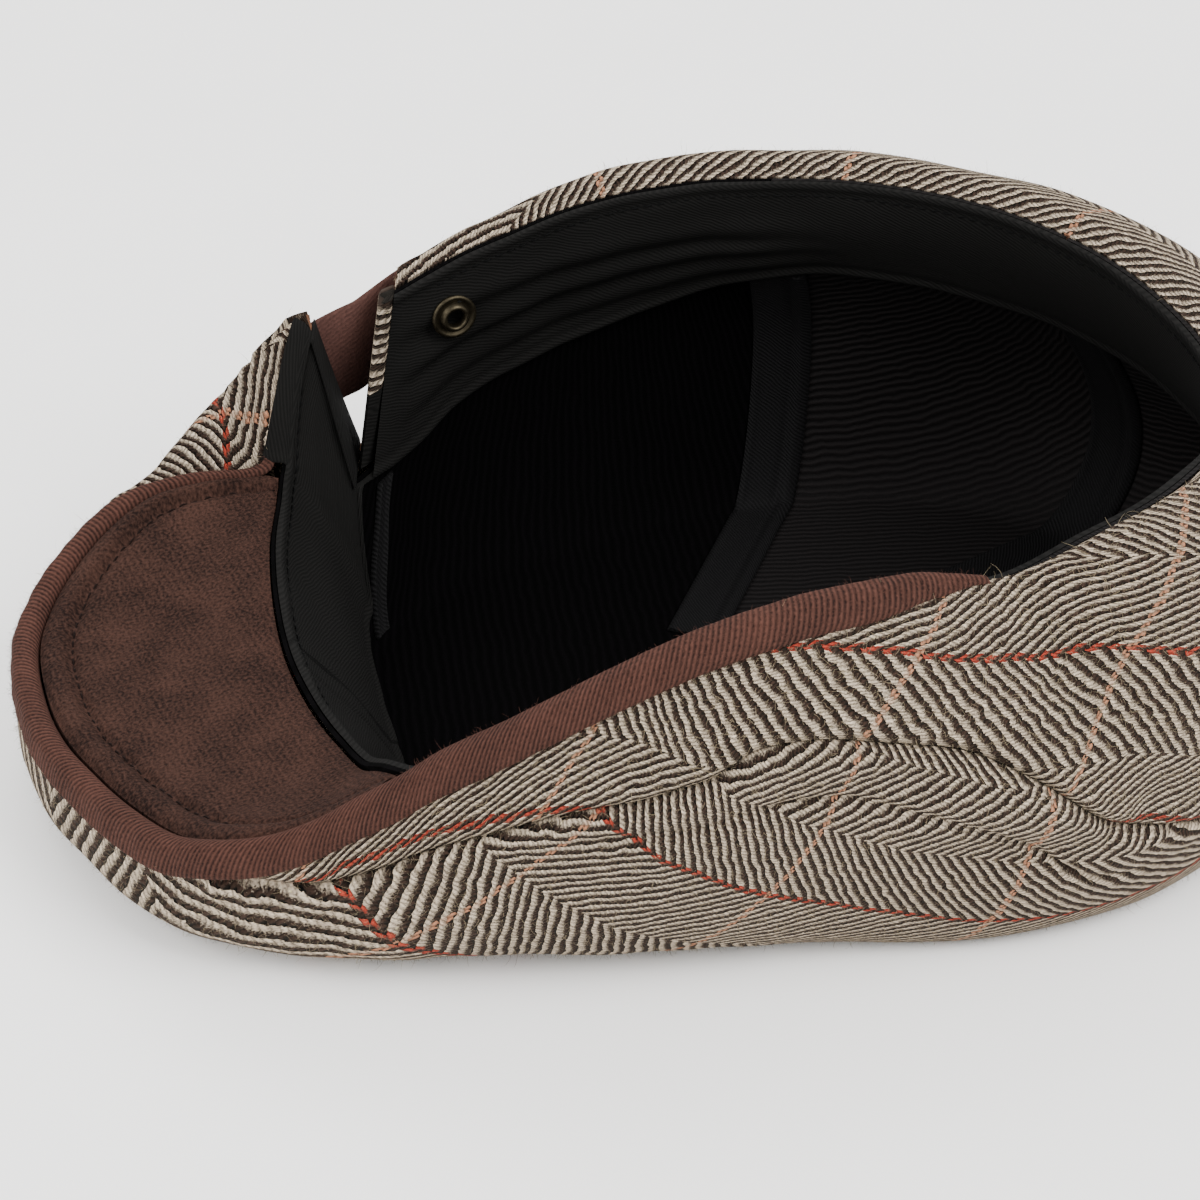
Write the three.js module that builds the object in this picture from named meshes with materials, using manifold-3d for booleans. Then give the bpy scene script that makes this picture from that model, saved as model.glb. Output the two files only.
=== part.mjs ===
import * as THREE from 'three';
import Module from 'manifold-3d';

// A tweed flat cap lying upside down on its crown, millimetres, +Z up.
// The peak points along -X, the wearer's right ear is on -Y and the left ear on +Y.
// Every soft wall is described by sections standing on rays from the middle of the crown.
// A section's `turn` is the angle of its ray in degrees: 0 over the peak, 90 over the
// right ear, 180 over the nape and 270 over the left ear.

const wasm = await Module();
wasm.setup();

// Cloth thicknesses and the space kept between neighbouring pieces.
const TWEED = 1.8;
const LINING = 1.0;
const SWEATBAND = 1.2;
const PEAK_BOARD = 3.0;
const GAP = 0.3;

// Widths of the sewn strips.
const TAPE_WIDTH = 13;
const TAPE_THICK = 0.7;
const STRAP_WIDTH = 23;
const STRAP_THICK = 1.6;
const FACING_WIDTH = 3.2;

// Ring of the press stud on the sweatband.
const RING_RADIUS = 5.4;
const RING_HOLE = 1.7;
const RING_HEIGHT = 2.2;

// Turns between which the side panels, the peak and the edge band run.
const SIDE_START = 35;
const SIDE_END = 333;
const PEAK_START = 323.5;
const PEAK_END = 404.5;
const BAND_START = 321.5;
const BAND_END = 485;
const BACK_SEAM = 180;

// Degrees between the drawn sections of the lining bowl.
const BOWL_STEP = 6;

// The tweed wall: the edge it hangs from, the crest it rolls over, its lean in degrees below
// level as it leaves the crest, its widest point, the edge of the flat it rests on, and the
// depth of the side panel measured along the cloth.
const WALL = [
  { turn: 0, edgeR: 137, edgeZ: 25, out: 0, up: 0, lean: 88, wideR: 138, wideZ: 15, footR: 117, depth: 0 },
  { turn: 6, edgeR: 134.5, edgeZ: 24.5, out: 0, up: 0, lean: 88, wideR: 135.5, wideZ: 14, footR: 115, depth: 0 },
  { turn: 12, edgeR: 131, edgeZ: 24.5, out: 0, up: 0, lean: 87, wideR: 131.5, wideZ: 13, footR: 112, depth: 0 },
  { turn: 19, edgeR: 128, edgeZ: 25.5, out: 0, up: 0, lean: 87, wideR: 128.5, wideZ: 13, footR: 108, depth: 0 },
  { turn: 25, edgeR: 125.5, edgeZ: 27, out: 0, up: 0, lean: 88, wideR: 125, wideZ: 13, footR: 104, depth: 0 },
  { turn: 31, edgeR: 121.5, edgeZ: 31.5, out: 0, up: 0, lean: 90, wideR: 119.5, wideZ: 14, footR: 96, depth: 3 },
  { turn: 35, edgeR: 116, edgeZ: 34.5, out: 0, up: 0, lean: 90, wideR: 115, wideZ: 15, footR: 92, depth: 6 },
  { turn: 39, edgeR: 109.5, edgeZ: 39.5, out: 0, up: 0, lean: 86, wideR: 110.5, wideZ: 17, footR: 87, depth: 11 },
  { turn: 43, edgeR: 103.5, edgeZ: 46.2, out: 0, up: 0, lean: 82, wideR: 106.5, wideZ: 19, footR: 82.5, depth: 15 },
  { turn: 47.5, edgeR: 98, edgeZ: 52.8, out: 0, up: 0, lean: 78, wideR: 103, wideZ: 22, footR: 78, depth: 17.3 },
  { turn: 51, edgeR: 93.5, edgeZ: 57.8, out: 0, up: 0, lean: 74, wideR: 100.5, wideZ: 24, footR: 74, depth: 18.8 },
  { turn: 58, edgeR: 89, edgeZ: 65.1, out: 0, up: 0, lean: 70, wideR: 97, wideZ: 29, footR: 69.5, depth: 21.1 },
  { turn: 64, edgeR: 86.5, edgeZ: 71.2, out: 0, up: 0, lean: 68, wideR: 94.5, wideZ: 34, footR: 68, depth: 23.2 },
  { turn: 70, edgeR: 84, edgeZ: 76.4, out: 0, up: 0, lean: 67, wideR: 93, wideZ: 39, footR: 67.5, depth: 25.4 },
  { turn: 77, edgeR: 82, edgeZ: 81.5, out: 0, up: 0, lean: 66, wideR: 92, wideZ: 44, footR: 67, depth: 28 },
  { turn: 84, edgeR: 80.5, edgeZ: 85.3, out: 0, up: 0, lean: 66, wideR: 92, wideZ: 48, footR: 67.5, depth: 28.3 },
  { turn: 91, edgeR: 80, edgeZ: 88, out: 0, up: 0, lean: 65, wideR: 92.5, wideZ: 50, footR: 69, depth: 25 },
  { turn: 99, edgeR: 80, edgeZ: 89.8, out: 0, up: 0, lean: 64, wideR: 94, wideZ: 51, footR: 71.5, depth: 26.8 },
  { turn: 106, edgeR: 81, edgeZ: 90.1, out: 0, up: 0, lean: 62, wideR: 97, wideZ: 50, footR: 76, depth: 30.1 },
  { turn: 114, edgeR: 83, edgeZ: 89.8, out: 0, up: 0, lean: 60, wideR: 103, wideZ: 48, footR: 84, depth: 34.8 },
  { turn: 121, edgeR: 86, edgeZ: 87.7, out: 0, up: 0, lean: 55, wideR: 110.5, wideZ: 44, footR: 92.5, depth: 43.7 },
  { turn: 128, edgeR: 90, edgeZ: 84.9, out: 0, up: 0, lean: 46, wideR: 119, wideZ: 40, footR: 100, depth: 57.9 },
  { turn: 133, edgeR: 94, edgeZ: 85.8, out: 2.5, up: 2, lean: 26, wideR: 124.5, wideZ: 37, footR: 106.5, depth: 70 },
  { turn: 139, edgeR: 100, edgeZ: 88, out: 5, up: 4, lean: 14, wideR: 131, wideZ: 33, footR: 114, depth: 83 },
  { turn: 151, edgeR: 112, edgeZ: 90, out: 5.5, up: 4, lean: 8, wideR: 142, wideZ: 28, footR: 123, depth: 98 },
  { turn: 165, edgeR: 121, edgeZ: 88, out: 5.5, up: 4, lean: 6, wideR: 149, wideZ: 26, footR: 129, depth: 101 },
  { turn: 180, edgeR: 124, edgeZ: 86, out: 5.5, up: 4, lean: 6, wideR: 151, wideZ: 25, footR: 131, depth: 99 },
  { turn: 195, edgeR: 121, edgeZ: 88, out: 5.5, up: 4, lean: 6, wideR: 149, wideZ: 26, footR: 129, depth: 101 },
  { turn: 209, edgeR: 112, edgeZ: 92, out: 5.5, up: 4, lean: 8, wideR: 139, wideZ: 28, footR: 121, depth: 98 },
  { turn: 221, edgeR: 101, edgeZ: 95, out: 5, up: 4, lean: 12, wideR: 126, wideZ: 33, footR: 111, depth: 84 },
  { turn: 232, edgeR: 92, edgeZ: 96.5, out: 5, up: 4, lean: 16, wideR: 114, wideZ: 39, footR: 99, depth: 66 },
  { turn: 246, edgeR: 84.5, edgeZ: 96.5, out: 5, up: 4, lean: 22, wideR: 102, wideZ: 46, footR: 86, depth: 47 },
  { turn: 258, edgeR: 81, edgeZ: 95, out: 5, up: 4, lean: 26, wideR: 95.5, wideZ: 50, footR: 77.5, depth: 40 },
  { turn: 270, edgeR: 80, edgeZ: 92, out: 4.5, up: 4, lean: 28, wideR: 92.5, wideZ: 50, footR: 70.5, depth: 38 },
  { turn: 280, edgeR: 80.5, edgeZ: 88, out: 4, up: 3.5, lean: 34, wideR: 92, wideZ: 46, footR: 68, depth: 37 },
  { turn: 290, edgeR: 83, edgeZ: 83.5, out: 3.5, up: 2.5, lean: 50, wideR: 92, wideZ: 39, footR: 67.5, depth: 38 },
  { turn: 296, edgeR: 86, edgeZ: 79.5, out: 3, up: 2, lean: 66, wideR: 91.5, wideZ: 34, footR: 68, depth: 40 },
  { turn: 301, edgeR: 88.5, edgeZ: 76.5, out: 2.5, up: 1.5, lean: 80, wideR: 91, wideZ: 30, footR: 69, depth: 42 },
  { turn: 307, edgeR: 92, edgeZ: 75, out: 2, up: 1, lean: 96, wideR: 90, wideZ: 26, footR: 70.5, depth: 44 },
  { turn: 314, edgeR: 95.5, edgeZ: 76, out: 1.5, up: 1.5, lean: 102, wideR: 91, wideZ: 23, footR: 74, depth: 48 },
  { turn: 317, edgeR: 96.5, edgeZ: 66, out: 5.5, up: 5.5, lean: 86, wideR: 97, wideZ: 21, footR: 77, depth: 50 },
  { turn: 319.5, edgeR: 97, edgeZ: 54, out: 10, up: 9, lean: 62, wideR: 105, wideZ: 20, footR: 80, depth: 48 },
  { turn: 322, edgeR: 98, edgeZ: 43.5, out: 14.5, up: 11, lean: 44, wideR: 112, wideZ: 18, footR: 85, depth: 42 },
  { turn: 325, edgeR: 104, edgeZ: 41, out: 13, up: 7, lean: 46, wideR: 118, wideZ: 17, footR: 92, depth: 30 },
  { turn: 328, edgeR: 113, edgeZ: 39.5, out: 8, up: 3, lean: 58, wideR: 122, wideZ: 15, footR: 99, depth: 18 },
  { turn: 332, edgeR: 123, edgeZ: 38, out: 3.5, up: 0.8, lean: 72, wideR: 126, wideZ: 14, footR: 103, depth: 7 },
  { turn: 336, edgeR: 129, edgeZ: 35, out: 1, up: 0.2, lean: 80, wideR: 130, wideZ: 14, footR: 106, depth: 3 },
  { turn: 341, edgeR: 134, edgeZ: 31.5, out: 0, up: 0, lean: 85, wideR: 134.5, wideZ: 13, footR: 109, depth: 0 },
  { turn: 346, edgeR: 137.5, edgeZ: 28.5, out: 0, up: 0, lean: 87, wideR: 138, wideZ: 13, footR: 112, depth: 0 },
  { turn: 351, edgeR: 139, edgeZ: 26.5, out: 0, up: 0, lean: 88, wideR: 139.5, wideZ: 14, footR: 115, depth: 0 },
];

// The lining bowl: its open edge, its widest point and the edge of its floor.
const BOWL = [
  { turn: 0, openR: 80.5, openZ: 36.5, wideR: 66, wideZ: 16, floorR: 55, band: 40 },
  { turn: 10, openR: 80, openZ: 36, wideR: 66, wideZ: 16, floorR: 55, band: 40 },
  { turn: 25, openR: 81.5, openZ: 36.8, wideR: 71, wideZ: 17, floorR: 58, band: 40 },
  { turn: 33, openR: 84.5, openZ: 39.5, wideR: 78, wideZ: 19, floorR: 63, band: 39 },
  { turn: 40, openR: 88.5, openZ: 46.5, wideR: 86, wideZ: 21, floorR: 68, band: 38 },
  { turn: 47.5, openR: 91, openZ: 51.8, wideR: 93, wideZ: 24, floorR: 71, band: 38 },
  { turn: 51, openR: 90.6, openZ: 55.4, wideR: 94, wideZ: 25, floorR: 70, band: 38 },
  { turn: 58, openR: 86.8, openZ: 63.6, wideR: 92.5, wideZ: 29, floorR: 67, band: 38 },
  { turn: 64, openR: 84.4, openZ: 69.6, wideR: 90.5, wideZ: 34, floorR: 65.5, band: 38 },
  { turn: 77, openR: 79.8, openZ: 79.7, wideR: 88.3, wideZ: 44, floorR: 64.5, band: 38 },
  { turn: 91, openR: 77.8, openZ: 86.2, wideR: 88.8, wideZ: 50, floorR: 66.5, band: 38 },
  { turn: 106, openR: 78.8, openZ: 88.3, wideR: 93, wideZ: 50, floorR: 73.5, band: 37 },
  { turn: 121, openR: 83.7, openZ: 85.7, wideR: 106.5, wideZ: 44, floorR: 89.5, band: 35 },
  { turn: 128, openR: 88.5, openZ: 82.9, wideR: 115, wideZ: 40, floorR: 97, band: 34 },
  { turn: 139, openR: 99.4, openZ: 88, wideR: 127, wideZ: 33, floorR: 111, band: 32 },
  { turn: 151, openR: 111.4, openZ: 90, wideR: 138, wideZ: 28, floorR: 120, band: 31 },
  { turn: 165, openR: 120.4, openZ: 88, wideR: 145, wideZ: 26, floorR: 126, band: 30 },
  { turn: 180, openR: 123.4, openZ: 86, wideR: 147, wideZ: 25, floorR: 128, band: 30 },
  { turn: 195, openR: 120.4, openZ: 88, wideR: 145, wideZ: 26, floorR: 126, band: 30 },
  { turn: 209, openR: 111.4, openZ: 92, wideR: 135, wideZ: 28, floorR: 118, band: 30 },
  { turn: 221, openR: 100.4, openZ: 95, wideR: 122, wideZ: 33, floorR: 108, band: 29 },
  { turn: 232, openR: 91.4, openZ: 96.5, wideR: 110, wideZ: 39, floorR: 96, band: 29 },
  { turn: 246, openR: 83.9, openZ: 96.5, wideR: 98, wideZ: 46, floorR: 83, band: 33 },
  { turn: 258, openR: 80.4, openZ: 95, wideR: 91.5, wideZ: 50, floorR: 75, band: 38 },
  { turn: 270, openR: 79.4, openZ: 92, wideR: 88.5, wideZ: 50, floorR: 68, band: 41 },
  { turn: 280, openR: 79.9, openZ: 88, wideR: 88, wideZ: 46, floorR: 65.5, band: 42 },
  { turn: 290, openR: 82.4, openZ: 83.5, wideR: 87.5, wideZ: 39, floorR: 65, band: 42 },
  { turn: 296, openR: 85.2, openZ: 79.5, wideR: 86, wideZ: 35, floorR: 65.5, band: 42 },
  { turn: 301, openR: 87.6, openZ: 76.5, wideR: 84.5, wideZ: 33, floorR: 66, band: 41 },
  { turn: 307, openR: 90.6, openZ: 75, wideR: 81.5, wideZ: 32, floorR: 66, band: 40 },
  { turn: 314, openR: 93.8, openZ: 75, wideR: 79.5, wideZ: 31, floorR: 66.5, band: 40 },
  { turn: 317, openR: 94.5, openZ: 65, wideR: 79.5, wideZ: 29, floorR: 67, band: 40 },
  { turn: 319.5, openR: 94, openZ: 54, wideR: 79.5, wideZ: 27, floorR: 67, band: 40 },
  { turn: 322, openR: 92.8, openZ: 44.3, wideR: 79.5, wideZ: 25, floorR: 67, band: 40 },
  { turn: 329, openR: 88.5, openZ: 42.5, wideR: 75, wideZ: 21, floorR: 65.5, band: 40 },
  { turn: 337, openR: 85.5, openZ: 41, wideR: 70.5, wideZ: 19, floorR: 61, band: 40 },
  { turn: 345, openR: 83, openZ: 39.2, wideR: 67.5, wideZ: 17, floorR: 57.5, band: 40 },
  { turn: 353, openR: 81.3, openZ: 37.5, wideR: 66, wideZ: 16, floorR: 55.5, band: 40 },
];

// The rolled edge band: height of the roll over the edge, reach over the wall's top, length
// of the leg down the outside, how far it swells and its lean in degrees below level.
const BAND = [
  { turn: 321.5, roll: 1.6, reach: 2.8, leg: -0.1, swell: -0.35, lean: 90 },
  { turn: 328, roll: 5.5, reach: 4.8, leg: -0.1, swell: -0.35, lean: 90 },
  { turn: 340, roll: 6, reach: 5.4, leg: -0.1, swell: -0.2, lean: 90 },
  { turn: 350, roll: 6, reach: 5.5, leg: 1.2, swell: 0.9, lean: 90 },
  { turn: 360, roll: 6, reach: 5.5, leg: 2, swell: 1, lean: 90 },
  { turn: 380, roll: 6, reach: 5.5, leg: 2.4, swell: 1.2, lean: 89 },
  { turn: 391, roll: 5.8, reach: 5.2, leg: 3, swell: 1.5, lean: 88 },
  { turn: 398, roll: 5, reach: 4.4, leg: 5, swell: 2, lean: 84 },
  { turn: 404, roll: 4, reach: 3.2, leg: 6.8, swell: 2.4, lean: 79 },
  { turn: 411, roll: 3.2, reach: 2.3, leg: 8, swell: 2.9, lean: 74 },
  { turn: 424, roll: 2.8, reach: 2.2, leg: 7.4, swell: 2.8, lean: 68 },
  { turn: 451, roll: 2.6, reach: 2.2, leg: 6.3, swell: 2.7, lean: 65 },
  { turn: 466, roll: 2.4, reach: 2.2, leg: 6.2, swell: 2.3, lean: 62 },
  { turn: 477, roll: 1.9, reach: 2.1, leg: 3.8, swell: 1.5, lean: 57 },
  { turn: 485, roll: 1.1, reach: 1.9, leg: 1.2, swell: 0.7, lean: 48 },
];

// Soft dents and swellings of the tweed: middle turn, middle depth along the cloth, depth
// pushed in, and half sizes round the cap and down the cloth.
const DENTS = [
  { turn: 66, down: 46, push: 1.2, round: 9, tall: 9 },
  { turn: 84, down: 40, push: -1.4, round: 14, tall: 6 },
  { turn: 100, down: 38.5, push: 1.8, round: 16, tall: 5 },
  { turn: 116, down: 51.7, push: -1.6, round: 12, tall: 8 },
  { turn: 126, down: 62, push: 2.0, round: 9, tall: 6 },
  { turn: 40, down: 24, push: 1.2, round: 5, tall: 9 },
  { turn: 146, down: 40, push: 1.6, round: 12, tall: 16 },
  { turn: 205, down: 45, push: 1.8, round: 14, tall: 16 },
  { turn: 250, down: 60, push: 1.2, round: 12, tall: 12 },
];

// The notch over the left ear, cut straight through the wall along `through`. Its sides are
// given by their distance `at` across that direction at the bottom and the top of the cut.
const NOTCH = {
  through: { x: 0.2, y: 0.98 },
  bottomZ: 38,
  topZ: 98,
  left: { bottomAt: -66.9, topAt: -82 },
  right: { bottomAt: -66.3, topAt: -57.6 },
  near: 30,
  far: 130,
};

// Gores of the lining behind the front one, and the radius at which they end.
const GORES = [
  { name: 'lining_right', from: 121, to: 157 },
  { name: 'lining_back', from: 157, to: 203 },
  { name: 'lining_left', from: 203, to: 239 },
];
const GORE_TIP = 12;

// Tapes sewn over the seams of the lining, and the radius at which they end.
const TAPES = [
  { name: 'seam_tape_right', turn: 121 },
  { name: 'seam_tape_back_right', turn: 157 },
  { name: 'seam_tape_back_left', turn: 203 },
  { name: 'seam_tape_left', turn: 239 },
];
const TAPE_TIP = 34;

const rad = (degrees) => (degrees * Math.PI) / 180;

// Periodic monotone cubic through one named column of a table.
function column(rows, key) {
  const n = rows.length;
  const step = (i) => {
    const next = i + 1 < n ? rows[i + 1].turn : rows[0].turn + 360;
    return next - rows[i].turn;
  };
  const rise = (i) => (rows[(i + 1) % n][key] - rows[i][key]) / step(i);
  const slopes = rows.map((row, i) => {
    const before = rise((i + n - 1) % n);
    const after = rise(i);
    if (before * after <= 0) {
      return 0;
    }
    return (2 * before * after) / (before + after);
  });
  return (turn) => {
    let t = ((turn % 360) + 360) % 360;
    if (t < rows[0].turn) {
      t += 360;
    }
    let i = n - 1;
    while (i > 0 && rows[i].turn > t) {
      i -= 1;
    }
    const h = step(i);
    const u = (t - rows[i].turn) / h;
    const a = rows[i][key];
    const b = rows[(i + 1) % n][key];
    const ma = slopes[i] * h;
    const mb = slopes[(i + 1) % n] * h;
    const u2 = u * u;
    const u3 = u2 * u;
    return (2 * u3 - 3 * u2 + 1) * a + (u3 - 2 * u2 + u) * ma + (3 * u2 - 2 * u3) * b + (u3 - u2) * mb;
  };
}

// The same between the ends of an open table.
function openColumn(rows, key) {
  const n = rows.length;
  const rise = (i) => (rows[i + 1][key] - rows[i][key]) / (rows[i + 1].turn - rows[i].turn);
  const slopes = rows.map((row, i) => {
    if (i === 0 || i === n - 1) {
      return 0;
    }
    const before = rise(i - 1);
    const after = rise(i);
    return before * after <= 0 ? 0 : (2 * before * after) / (before + after);
  });
  return (turn) => {
    const t = Math.min(Math.max(turn, rows[0].turn), rows[n - 1].turn);
    let i = n - 2;
    while (i > 0 && rows[i].turn > t) {
      i -= 1;
    }
    const h = rows[i + 1].turn - rows[i].turn;
    const u = (t - rows[i].turn) / h;
    const u2 = u * u;
    const u3 = u2 * u;
    const ends = (2 * u3 - 3 * u2 + 1) * rows[i][key] + (3 * u2 - 2 * u3) * rows[i + 1][key];
    return ends + ((u3 - 2 * u2 + u) * slopes[i] + (u3 - u2) * slopes[i + 1]) * h;
  };
}

function columns(rows, make) {
  const table = {};
  for (const key of Object.keys(rows[0])) {
    if (key !== 'turn') {
      table[key] = make(rows, key);
    }
  }
  return (turn) => {
    const row = { turn };
    for (const key of Object.keys(table)) {
      row[key] = table[key](turn);
    }
    return row;
  };
}

const wallAt = columns(WALL, column);
const bowlAt = columns(BOWL, column);
const bandAt = columns(BAND, openColumn);

function bezier(a, b, c, d, count) {
  const points = [];
  for (let k = 0; k <= count; k += 1) {
    const u = k / count;
    const v = 1 - u;
    const mix = (p, q, r, s) => v * v * v * p + 3 * v * v * u * q + 3 * v * u * u * r + u * u * u * s;
    points.push([mix(a[0], b[0], c[0], d[0]), mix(a[1], b[1], c[1], d[1])]);
  }
  return points;
}

// A section polyline of [radius, height] with its running length.
function measured(points) {
  const kept = [points[0]];
  const along = [0];
  for (const p of points.slice(1)) {
    const q = kept[kept.length - 1];
    const step = Math.hypot(p[0] - q[0], p[1] - q[1]);
    if (step > 1e-4) {
      kept.push(p);
      along.push(along[along.length - 1] + step);
    }
  }
  return { points: kept, along, total: along[along.length - 1] };
}

function pointAt(line, s) {
  const t = Math.min(Math.max(s, 0), line.total);
  let i = line.along.length - 2;
  while (i > 0 && line.along[i] > t) {
    i -= 1;
  }
  const u = (t - line.along[i]) / (line.along[i + 1] - line.along[i]);
  const a = line.points[i];
  const b = line.points[i + 1];
  return [a[0] + (b[0] - a[0]) * u, a[1] + (b[1] - a[1]) * u];
}

// Unit normal of a section, pointing out of the cap.
function normalAt(line, s) {
  const a = pointAt(line, s - 0.6);
  const b = pointAt(line, s + 0.6);
  const length = Math.hypot(b[0] - a[0], b[1] - a[1]);
  return [-(b[1] - a[1]) / length, (b[0] - a[0]) / length];
}

// Outside of the tweed at one turn, from its edge over the crest to the rim of the flat.
function wallLine(turn) {
  const w = wallAt(turn);
  const edge = [w.edgeR, w.edgeZ];
  const crest = [w.edgeR + w.out, w.edgeZ + w.up];
  const wide = [w.wideR, w.wideZ];
  const reach = 0.42 * Math.hypot(wide[0] - crest[0], wide[1] - crest[1]);
  const lean = rad(w.lean);
  const roll = bezier(
    edge,
    [edge[0] + 0.4 * w.out, edge[1]],
    [crest[0] - 0.6 * w.out, crest[1]],
    crest,
    12,
  );
  const side = bezier(
    crest,
    [crest[0] + reach * Math.cos(lean), crest[1] - reach * Math.sin(lean)],
    [wide[0], wide[1] + 0.4 * (crest[1] - wide[1])],
    wide,
    24,
  );
  const belly = bezier(
    wide,
    [wide[0], wide[1] * 0.42],
    [w.footR + 0.5 * (wide[0] - w.footR), 0],
    [w.footR, 0],
    20,
  );
  const line = measured([...roll, ...side, ...belly]);
  line.crest = measured(roll.length > 1 && w.out > 0.05 ? roll : [edge, crest]).total || 0;
  line.depth = w.depth;
  return line;
}

// Push of the dents at a turn and a depth along the cloth.
function dentAt(turn, down) {
  let push = 0;
  for (const dent of DENTS) {
    const a = (turn - dent.turn) / dent.round;
    const b = (down - dent.down) / dent.tall;
    push += dent.push * Math.exp(-(a * a + b * b));
  }
  return push;
}

function tweedPoint(line, turn, s, inset) {
  const p = pointAt(line, s);
  const n = normalAt(line, s);
  const fade = Math.min(1, Math.max(0, (line.total - s) / 14));
  const depth = inset + dentAt(turn, s) * fade;
  return spot(turn, p[0] - n[0] * depth, p[1] - n[1] * depth);
}

// Outside of the lining bowl at one turn, from its open edge to the rim of its floor.
function bowlLine(turn) {
  const b = bowlAt(turn);
  const floor = TWEED + GAP;
  const drop = b.openZ - b.wideZ;
  const inward = Math.min(0, b.wideR - b.openR);
  const steep = (b.wideZ - floor) / drop;
  const wall = bezier(
    [b.openR, b.openZ],
    [b.openR + 0.35 * inward, b.openZ - 0.4 * drop],
    [b.wideR - 0.3 * inward, b.wideZ + 0.4 * drop],
    [b.wideR, b.wideZ],
    24,
  );
  const belly = bezier(
    [b.wideR, b.wideZ],
    [b.wideR + 0.4 * inward * steep, floor + (b.wideZ - floor) * 0.5],
    [b.floorR + 0.45 * (b.wideR - b.floorR), floor],
    [b.floorR, floor],
    20,
  );
  const line = measured([...wall, ...belly]);
  line.band = b.band;
  return line;
}

// Depths at which the lining and the sweatband are drawn, in thirds of the band's width.
function bandRows(line) {
  return [0, 1, 2, 3].map((k) => (line.band * k) / 3);
}

function bowlPoint(line, turn, s, inset) {
  const p = pointAt(line, s);
  const n = normalAt(line, s);
  return spot(turn, p[0] - n[0] * inset, p[1] - n[1] * inset);
}

function spot(turn, radius, height) {
  return [-radius * Math.cos(rad(turn)), -radius * Math.sin(rad(turn)), height];
}

// Turns from one to another, closer where the edge changes quickly.
function turns(from, to, step = 5) {
  const list = [from];
  let t = from;
  while (t < to - 1e-6) {
    const at = ((t % 360) + 360) % 360;
    const fine = (at >= 30 && at < 52) || (at >= 310 && at < 335);
    const size = fine ? step / 2 : step;
    t = Math.min(to, Math.floor(t / size + 1 + 1e-6) * size);
    if (to - t < size * 0.3) {
      t = to;
    }
    list.push(t);
  }
  return list;
}

// A closed body from an outer and an inner grid of points, joined round their borders.
function shell(outer, inner, closed) {
  const points = [];
  const lookup = new Map();
  const index = (p) => {
    const key = p.map((v) => Math.round(v * 2000)).join();
    if (!lookup.has(key)) {
      lookup.set(key, points.length);
      points.push(p);
    }
    return lookup.get(key);
  };
  const faces = [];
  const face = (a, b, c) => {
    const ids = [index(a), index(b), index(c)];
    if (ids[0] !== ids[1] && ids[1] !== ids[2] && ids[2] !== ids[0]) {
      faces.push(ids);
    }
  };
  const quad = (a, b, c, d) => {
    face(a, b, c);
    face(a, c, d);
  };
  const rows = outer.length;
  const last = outer[0].length - 1;
  const spans = closed ? rows : rows - 1;
  for (let i = 0; i < spans; i += 1) {
    const k = (i + 1) % rows;
    for (let j = 0; j < last; j += 1) {
      quad(outer[i][j], outer[i][j + 1], outer[k][j + 1], outer[k][j]);
      quad(inner[i][j], inner[k][j], inner[k][j + 1], inner[i][j + 1]);
    }
    quad(outer[i][0], outer[k][0], inner[k][0], inner[i][0]);
    quad(outer[k][last], outer[i][last], inner[i][last], inner[k][last]);
  }
  if (!closed) {
    for (let j = 0; j < last; j += 1) {
      quad(outer[0][j + 1], outer[0][j], inner[0][j], inner[0][j + 1]);
      quad(outer[rows - 1][j], outer[rows - 1][j + 1], inner[rows - 1][j + 1], inner[rows - 1][j]);
    }
  }
  return { points, faces };
}

// A closed body swept from one ring of points per station.
function tube(rings) {
  const points = rings.flat();
  const size = rings[0].length;
  const faces = [];
  for (let i = 0; i + 1 < rings.length; i += 1) {
    for (let j = 0; j < size; j += 1) {
      const k = (j + 1) % size;
      const a = i * size;
      const b = a + size;
      faces.push([a + j, a + k, b + k]);
      faces.push([a + j, b + k, b + j]);
    }
  }
  const end = (rings.length - 1) * size;
  for (let j = 1; j + 1 < size; j += 1) {
    faces.push([0, j + 1, j]);
    faces.push([end, end + j, end + j + 1]);
  }
  return { points, faces };
}

function volume(body) {
  let sum = 0;
  for (const [i, j, k] of body.faces) {
    const a = body.points[i];
    const b = body.points[j];
    const c = body.points[k];
    sum += a[0] * (b[1] * c[2] - b[2] * c[1]);
    sum += a[1] * (b[2] * c[0] - b[0] * c[2]);
    sum += a[2] * (b[0] * c[1] - b[1] * c[0]);
  }
  return sum / 6;
}

function solid(body) {
  const flip = volume(body) < 0;
  const order = body.faces.flatMap(([a, b, c]) => (flip ? [a, c, b] : [a, b, c]));
  const mesh = new wasm.Mesh({
    numProp: 3,
    vertProperties: new Float32Array(body.points.flat()),
    triVerts: new Uint32Array(order),
  });
  return new wasm.Manifold(mesh);
}

// The largest body left by a cut.
function mainBody(manifold) {
  const bodies = manifold.decompose();
  return bodies.reduce((best, body) => (body.volume() > best.volume() ? body : best));
}

function geometryOf(manifold) {
  const { vertProperties, triVerts } = manifold.getMesh();
  const geometry = new THREE.BufferGeometry();
  geometry.setAttribute('position', new THREE.BufferAttribute(new Float32Array(vertProperties), 3));
  geometry.setIndex(new THREE.BufferAttribute(new Uint32Array(triVerts), 1));
  geometry.computeVertexNormals();
  return geometry;
}

// Depths along the cloth at which a side panel is drawn, closest round the crest.
function sideRows(line, depth) {
  const first = Math.min(Math.max(line.crest / 2, 1.5), depth / 4);
  const rows = [0, first, 2 * first];
  for (let k = 1; k <= 4; k += 1) {
    rows.push(2 * first + ((depth - 2 * first) * k) / 4);
  }
  return rows;
}

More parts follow.
